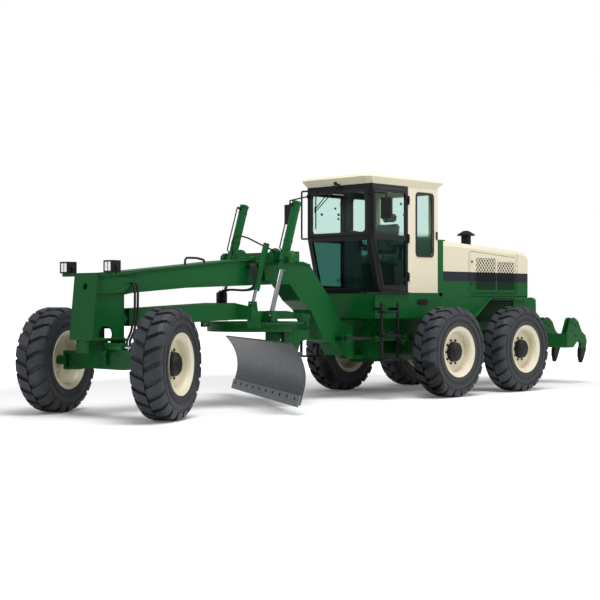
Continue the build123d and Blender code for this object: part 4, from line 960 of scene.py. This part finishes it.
def cloth_cushion(name, low, high, turn, cap):
    """Foam block inside a swollen cloth cover."""
    middle = (Vector(low) + Vector(high)) / 2
    form = bmesh.new()
    add_box(form, low, high)
    bmesh.ops.bevel(form, geom=form.edges[:], offset=0.028, segments=3, affect="EDGES")
    form.transform(Matrix.Translation(middle) @ Matrix.Rotation(turn, 4, "Y") @ Matrix.Translation(-middle))
    cushion = finish(name, form, seat_cloth, CAB)
    swell(cushion, cap)
    for face in cushion.data.polygons:
        face.use_smooth = True
    finer = cushion.modifiers.new("finer", "SUBSURF")
    finer.levels = finer.render_levels = 1
    return cushion


base = cloth_cushion("seat_base", spot(-5.27, -0.235, 2.02), spot(-4.835, 0.235, 2.105), 0.0, 0.018)
cloth_cushion("seat_back", spot(-5.36, -0.225, 2.14), spot(-5.26, 0.225, 2.62), seat_lean, 0.018)
cloth_cushion("seat_headrest", spot(-5.415, -0.14, 2.64), spot(-5.345, 0.14, 2.77), seat_lean, 0.014)
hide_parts("seat_cushions")

arm_outline = [(-5.33, 2.245), (-4.96, 2.27), (-4.96, 2.305), (-5.33, 2.3)]
arm_post = [(-5.33, 2.06), (-5.28, 2.06), (-5.3, 2.29), (-5.35, 2.29)]
arm_shapes = [(side_plate, 0.275, arm_outline, 0.05), (side_plate, 0.25, arm_post, 0.03)]
mirrored("seat_arms", arm_shapes, cab_trim, CAB, 0.008)

console = [(-5.6, 1.552), (-5.06, 1.552), (-5.06, 2.06), (-5.11, 2.12), (-5.6, 2.12)]
column_head = [(-4.64, 2.2), (-4.44, 2.2), (-4.43, 2.33), (-4.56, 2.35)]
form = bmesh.new()
side_plate(form, 1, -0.624, console, 0.048)
side_plate(form, 1, -0.08, column_head, 0.16)
finish("side_console", form, cab_trim, CAB, 0.012)

wheel_middle, wheel_axis = spot(-4.675, 0, 2.325), Vector((-0.16, 0, 0.18)).normalized()
form = bmesh.new()
add_lathe(form, wheel_middle, wheel_axis, [(0.05, -0.035), (0.055, 0.0), (0.05, 0.018), (0.015, 0.024)], 24)
for arm in ring_points(wheel_middle, wheel_axis, 0.2, 3, radians(30)):
    across = wheel_axis.cross((arm - wheel_middle).normalized()) * 0.016
    spoke = [wheel_middle + across, wheel_middle - across, arm - across * 0.8, arm + across * 0.8]
    add_plate(form, spoke, wheel_axis * 0.01)
finish("steering_spokes", form, plastic_black, CAB, 0.003)

lever_count, lever_pitch, lever_first = 9, 0.055, -0.225
grip_profile = [(0.006, 0), (0.013, 0.008), (0.015, 0.03), (0.008, 0.046)]
form = bmesh.new()
for number in range(lever_count):
    y = lever_first + number * lever_pitch
    lean = Vector((0.18, y * 0.5, 1)).normalized()
    foot = spot(-4.56 + 0.045 * (number % 2), y, 2.17)
    add_lathe(form, foot, lean, [(0.006, 0), (0.006, 0.17)], 10)
    add_lathe(form, foot + lean * 0.165, lean, grip_profile, 14)
finish("control_levers", form, plastic_black, CAB)
print("cab furnished")

# %% [markdown]
# ## Hood, grilles and platform
# Punched steel closes the vents of the engine doors and carries the same stripes as the hood.
# Seams show where the hood's panels meet. Sills and lips close the gaps round the engine bay,
# and a black lip edges the platform in front of the cab. A dark green plate inside each arch is
# painted shade for the deep engine bay.

# %% Hood fittings
DOOR_Y = 0.64
rim_border = 0.02
vents = {"front": ((-7.275, -6.745), 2.115), "back": ((-7.805, -7.315), 2.065)}
vent_foot = 1.605
lock_profile = [(0.018, 0), (0.018, 0.008), (0.01, 0.012)]
for side, word in SIDES:
    door = "engine_door_" + word
    for place, ((x0, x1), top) in vents.items():
        grille = spots(side, DOOR_Y + 0.0005, rectangle((x0, vent_foot), (x1, top)))
        form = bmesh.new()
        add_plate(form, rounded_loop(grille, 0.02, 4), (0, side * 0.004, 0))
        finish(f"grille_{place}_{word}", form, grille_livery, door, 0.001)
        rim = rectangle((x0 - rim_border, vent_foot - rim_border), (x1 + rim_border, top + rim_border))
        form = bmesh.new()
        add_gasket(form, spots(side, DOOR_Y, rim), 0.022, 0.02, (0, side * 0.007, 0))
        finish(f"grille_rim_{place}_{word}", form, hood_livery, door, 0.001)
    locks = spots(side, DOOR_Y, ((-6.64, 1.7), (-6.64, 2.05)))
    turned("door_locks_" + word, locks, (0, side, 0), lock_profile, 16, plastic_black, door)
    form = bmesh.new()
    for x in (-6.56, -7.895):
        side_box(form, side, (x - 0.0025, x + 0.0025), (0.639, 0.6425), (1.56, 2.2))
    finish("hood_seams_" + word, form, plastic_black, CAB)

sill = (side_box, (-8.19, -6.6), (0.598, 0.64), (1.44, 1.515))
# Painted shade: a dark green plate inside each arch stands for the deep, shaded engine bay.
shade_plate = (side_box, (-8.15, -6.25), (0.56, 0.572), (1.1, 1.5))
mirrored("engine_bay_sills", [sill], green_paint, CAB, 0.004)
mirrored("engine_bay_shade_plates", [shade_plate], shaded_green, CAB, 0.004)

arch_edge = [(-6.42, 1.17), (-6.7, 1.19), (-7.12, 1.5), (-7.84, 1.5)]
arch_outline = arch_edge + [(x + 0.014, z - 0.024) for x, z in reversed(arch_edge)]
mirrored("arch_lips", [(side_plate, 0.612, arch_outline, 0.078)], green_paint, CAB, 0.004)

lip_heights = (1.532, 1.556)
form = bmesh.new()
for side, word in SIDES:
    side_box(form, side, (-5.02, -4.03), (0.64, 0.7), lip_heights)
side_box(form, 1, (-4.1, -3.965), (-0.66, 0.66), lip_heights)
finish("platform_lip", form, black_paint, CAB, 0.003)
print("hood fittings in place")

# %% [markdown]
# ## Saddle
# A hose joins the two lift cylinders over the saddle. Pin drums and their bolts sit on both
# sides of the saddle.

# %% Saddle fittings
def line_mesh(guide):
    """Mesh of a curve object as it stands."""
    graph = bpy.context.evaluated_depsgraph_get()
    return bpy.data.meshes.new_from_object(guide.evaluated_get(graph))


def smooth_cord(name, points, radius, body, far_body=None):
    """Free hose along a smooth line."""
    curve = smooth_curve(name, points, 16)
    guide = bpy.data.objects.new(name + "_guide", curve)
    scene.collection.objects.link(guide)
    line = [vertex.co.copy() for vertex in line_mesh(guide).vertices]
    curve.bevel_depth = radius
    tube = line_mesh(guide)
    bpy.data.objects.remove(guide)
    for face in tube.polygons:
        face.use_smooth = True
    piece = bpy.data.objects.new(name, tube)
    scene.collection.objects.link(piece)
    tube.materials.clear()
    tube.materials.append(hose_rubber)
    if far_body:
        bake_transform(piece)
    else:
        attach(piece, body)


link_route = [(-2.5, -0.44, 2.055), (-2.44, -0.43, 2.2), (-2.42, -0.33, 2.33), (-2.42, -0.12, 2.32),
              (-2.44, 0.16, 2.2), (-2.47, 0.36, 2.12), (-2.49, 0.44, 2.085)]
smooth_cord("lift_link_hose", [spot(*point) for point in link_route], 0.011, "lift_barrels")

drum_profile = [(0.125, 0), (0.125, 0.03), (0.105, 0.04), (0.095, 0.06)]
pin_profile = [(0.06, -0.03), (0.06, 0.03), (0.05, 0.045)]
pin_x, pin_z = -2.36, 1.93
form = bmesh.new()
for side, word in SIDES:
    add_lathe(form, spot(-2.55, side * 0.33, 2.02), (0, side, 0), drum_profile, 32)
    add_lathe(form, spot(pin_x, side * 0.205, pin_z), (0, side, 0), pin_profile, 24)
finish("saddle_drums", form, green_paint, "front_frame", 0.003)
for side, word in SIDES:
    pin_places = ring_points(spot(pin_x, side * 0.248, pin_z), (0, side, 0), 0.04, 6)
    bolts("saddle_bolts_" + word, pin_places, (0, side, 0), 0.008, "front_frame")
print("saddle fitted out")

# %% [markdown]
# ## Blade, ripper and circle drive
# The blade's edge is bolted on so that it can be turned when worn. Its bolts lie on the edge's
# own slope, and the blade stands turned under the machine. Each ripper shank ends in a
# hardened black tooth. Three hoses feed the motor that turns the circle.

# %% Bolts of the blade, teeth of the ripper and hoses to the circle
blade_turn, blade_slope = radians(30), radians(15)
blade_origin = spot(-2.5, 0, 0)
blade_out = Vector((cos(blade_turn), -sin(blade_turn), 0))
blade_along = Vector((sin(blade_turn), cos(blade_turn), 0))
nose_out, nose_z, edge_thick = -0.105, 0.128, 0.02
blade_length, edge_bolt_count, edge_bolt_rise = 3.66, 10, 0.07
edge_normal = (blade_out * cos(blade_slope) + UP * sin(blade_slope)).normalized()
edge_out = nose_out - sin(blade_slope) * edge_bolt_rise + cos(blade_slope) * edge_thick
edge_z = nose_z + cos(blade_slope) * edge_bolt_rise + sin(blade_slope) * edge_thick
plough_bolt = [(0.024, -0.002), (0.024, 0.003), (0.019, 0.006), (0.012, 0.006), (0.01, 0.002)]
edge_middle = blade_origin + blade_out * edge_out + UP * edge_z
edge_places = [edge_middle + blade_along * blade_length * ((number + 0.5) / edge_bolt_count - 0.5)
               for number in range(edge_bolt_count)]
turned("edge_bolts", edge_places, edge_normal, plough_bolt, 20, black_paint, "moldboard")

shank_rows = (0.79, 0.263, -0.263, -0.79)
tooth = [(-9.738, 0.6), (-9.664, 0.446), (-9.6, 0.356), (-9.558, 0.48), (-9.564, 0.6)]
holder_outline = ((-9.24, 1.06), (-9.34, 1.01), (-9.24, 0.93), (-9.35, 0.84))
form = bmesh.new()
for y in shank_rows:
    side_plate(form, 1, y - 0.038, tooth, 0.076)
    for z in (0.64, 0.69):
        add_lathe(form, spot(-9.655, y - 0.042, z), (0, 1, 0), [(0.014, 0), (0.014, 0.084)], 12)
finish("ripper_teeth", form, black_paint, "ripper", 0.004)
holder_places = [place for y in shank_rows for place in spots(1, y + 0.062, holder_outline)]
bolts("holder_bolts", holder_places, (0, 1, 0), 0.02, "ripper", green_paint)

drive_low, drive_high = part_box("circle_drive")
drive_top = Vector(((drive_low[0] + drive_high[0]) / 2, (drive_low[1] + drive_high[1]) / 2, drive_high[2]))
cap_profile = [(0.055, -0.004), (0.055, 0.012), (0.04, 0.02), (0.036, 0.03), (0.015, 0.032)]
turned("drive_cap", [drive_top], UP, cap_profile, 28, green_paint, "drawbar", 0.002)
bolts("drive_bolts", ring_points(drive_top + UP * 0.01, UP, 0.046, 6), UP, 0.006, "drawbar")

hose_pitch = 0.034
for number, letter in enumerate("abc"):
    offset = number * hose_pitch
    start = spot(-2.215 + offset, 0.19, 1.905 - offset * 0.3)
    end = Vector((drive_high[0] - 0.02 - offset, drive_top.y + 0.05, drive_high[2] - 0.045))
    route = [start, start + Vector((0.005, 0.085, 0.055)), spot(-2.225 + offset, 0.33, 1.8),
             spot(-2.245 + offset, 0.325, 1.55), end + Vector((0.12, 0.1, 0.1)), end]
    smooth_cord("circle_hose_" + letter, route, 0.015, "front_frame", "drawbar")
print("blade, ripper and circle fitted out")
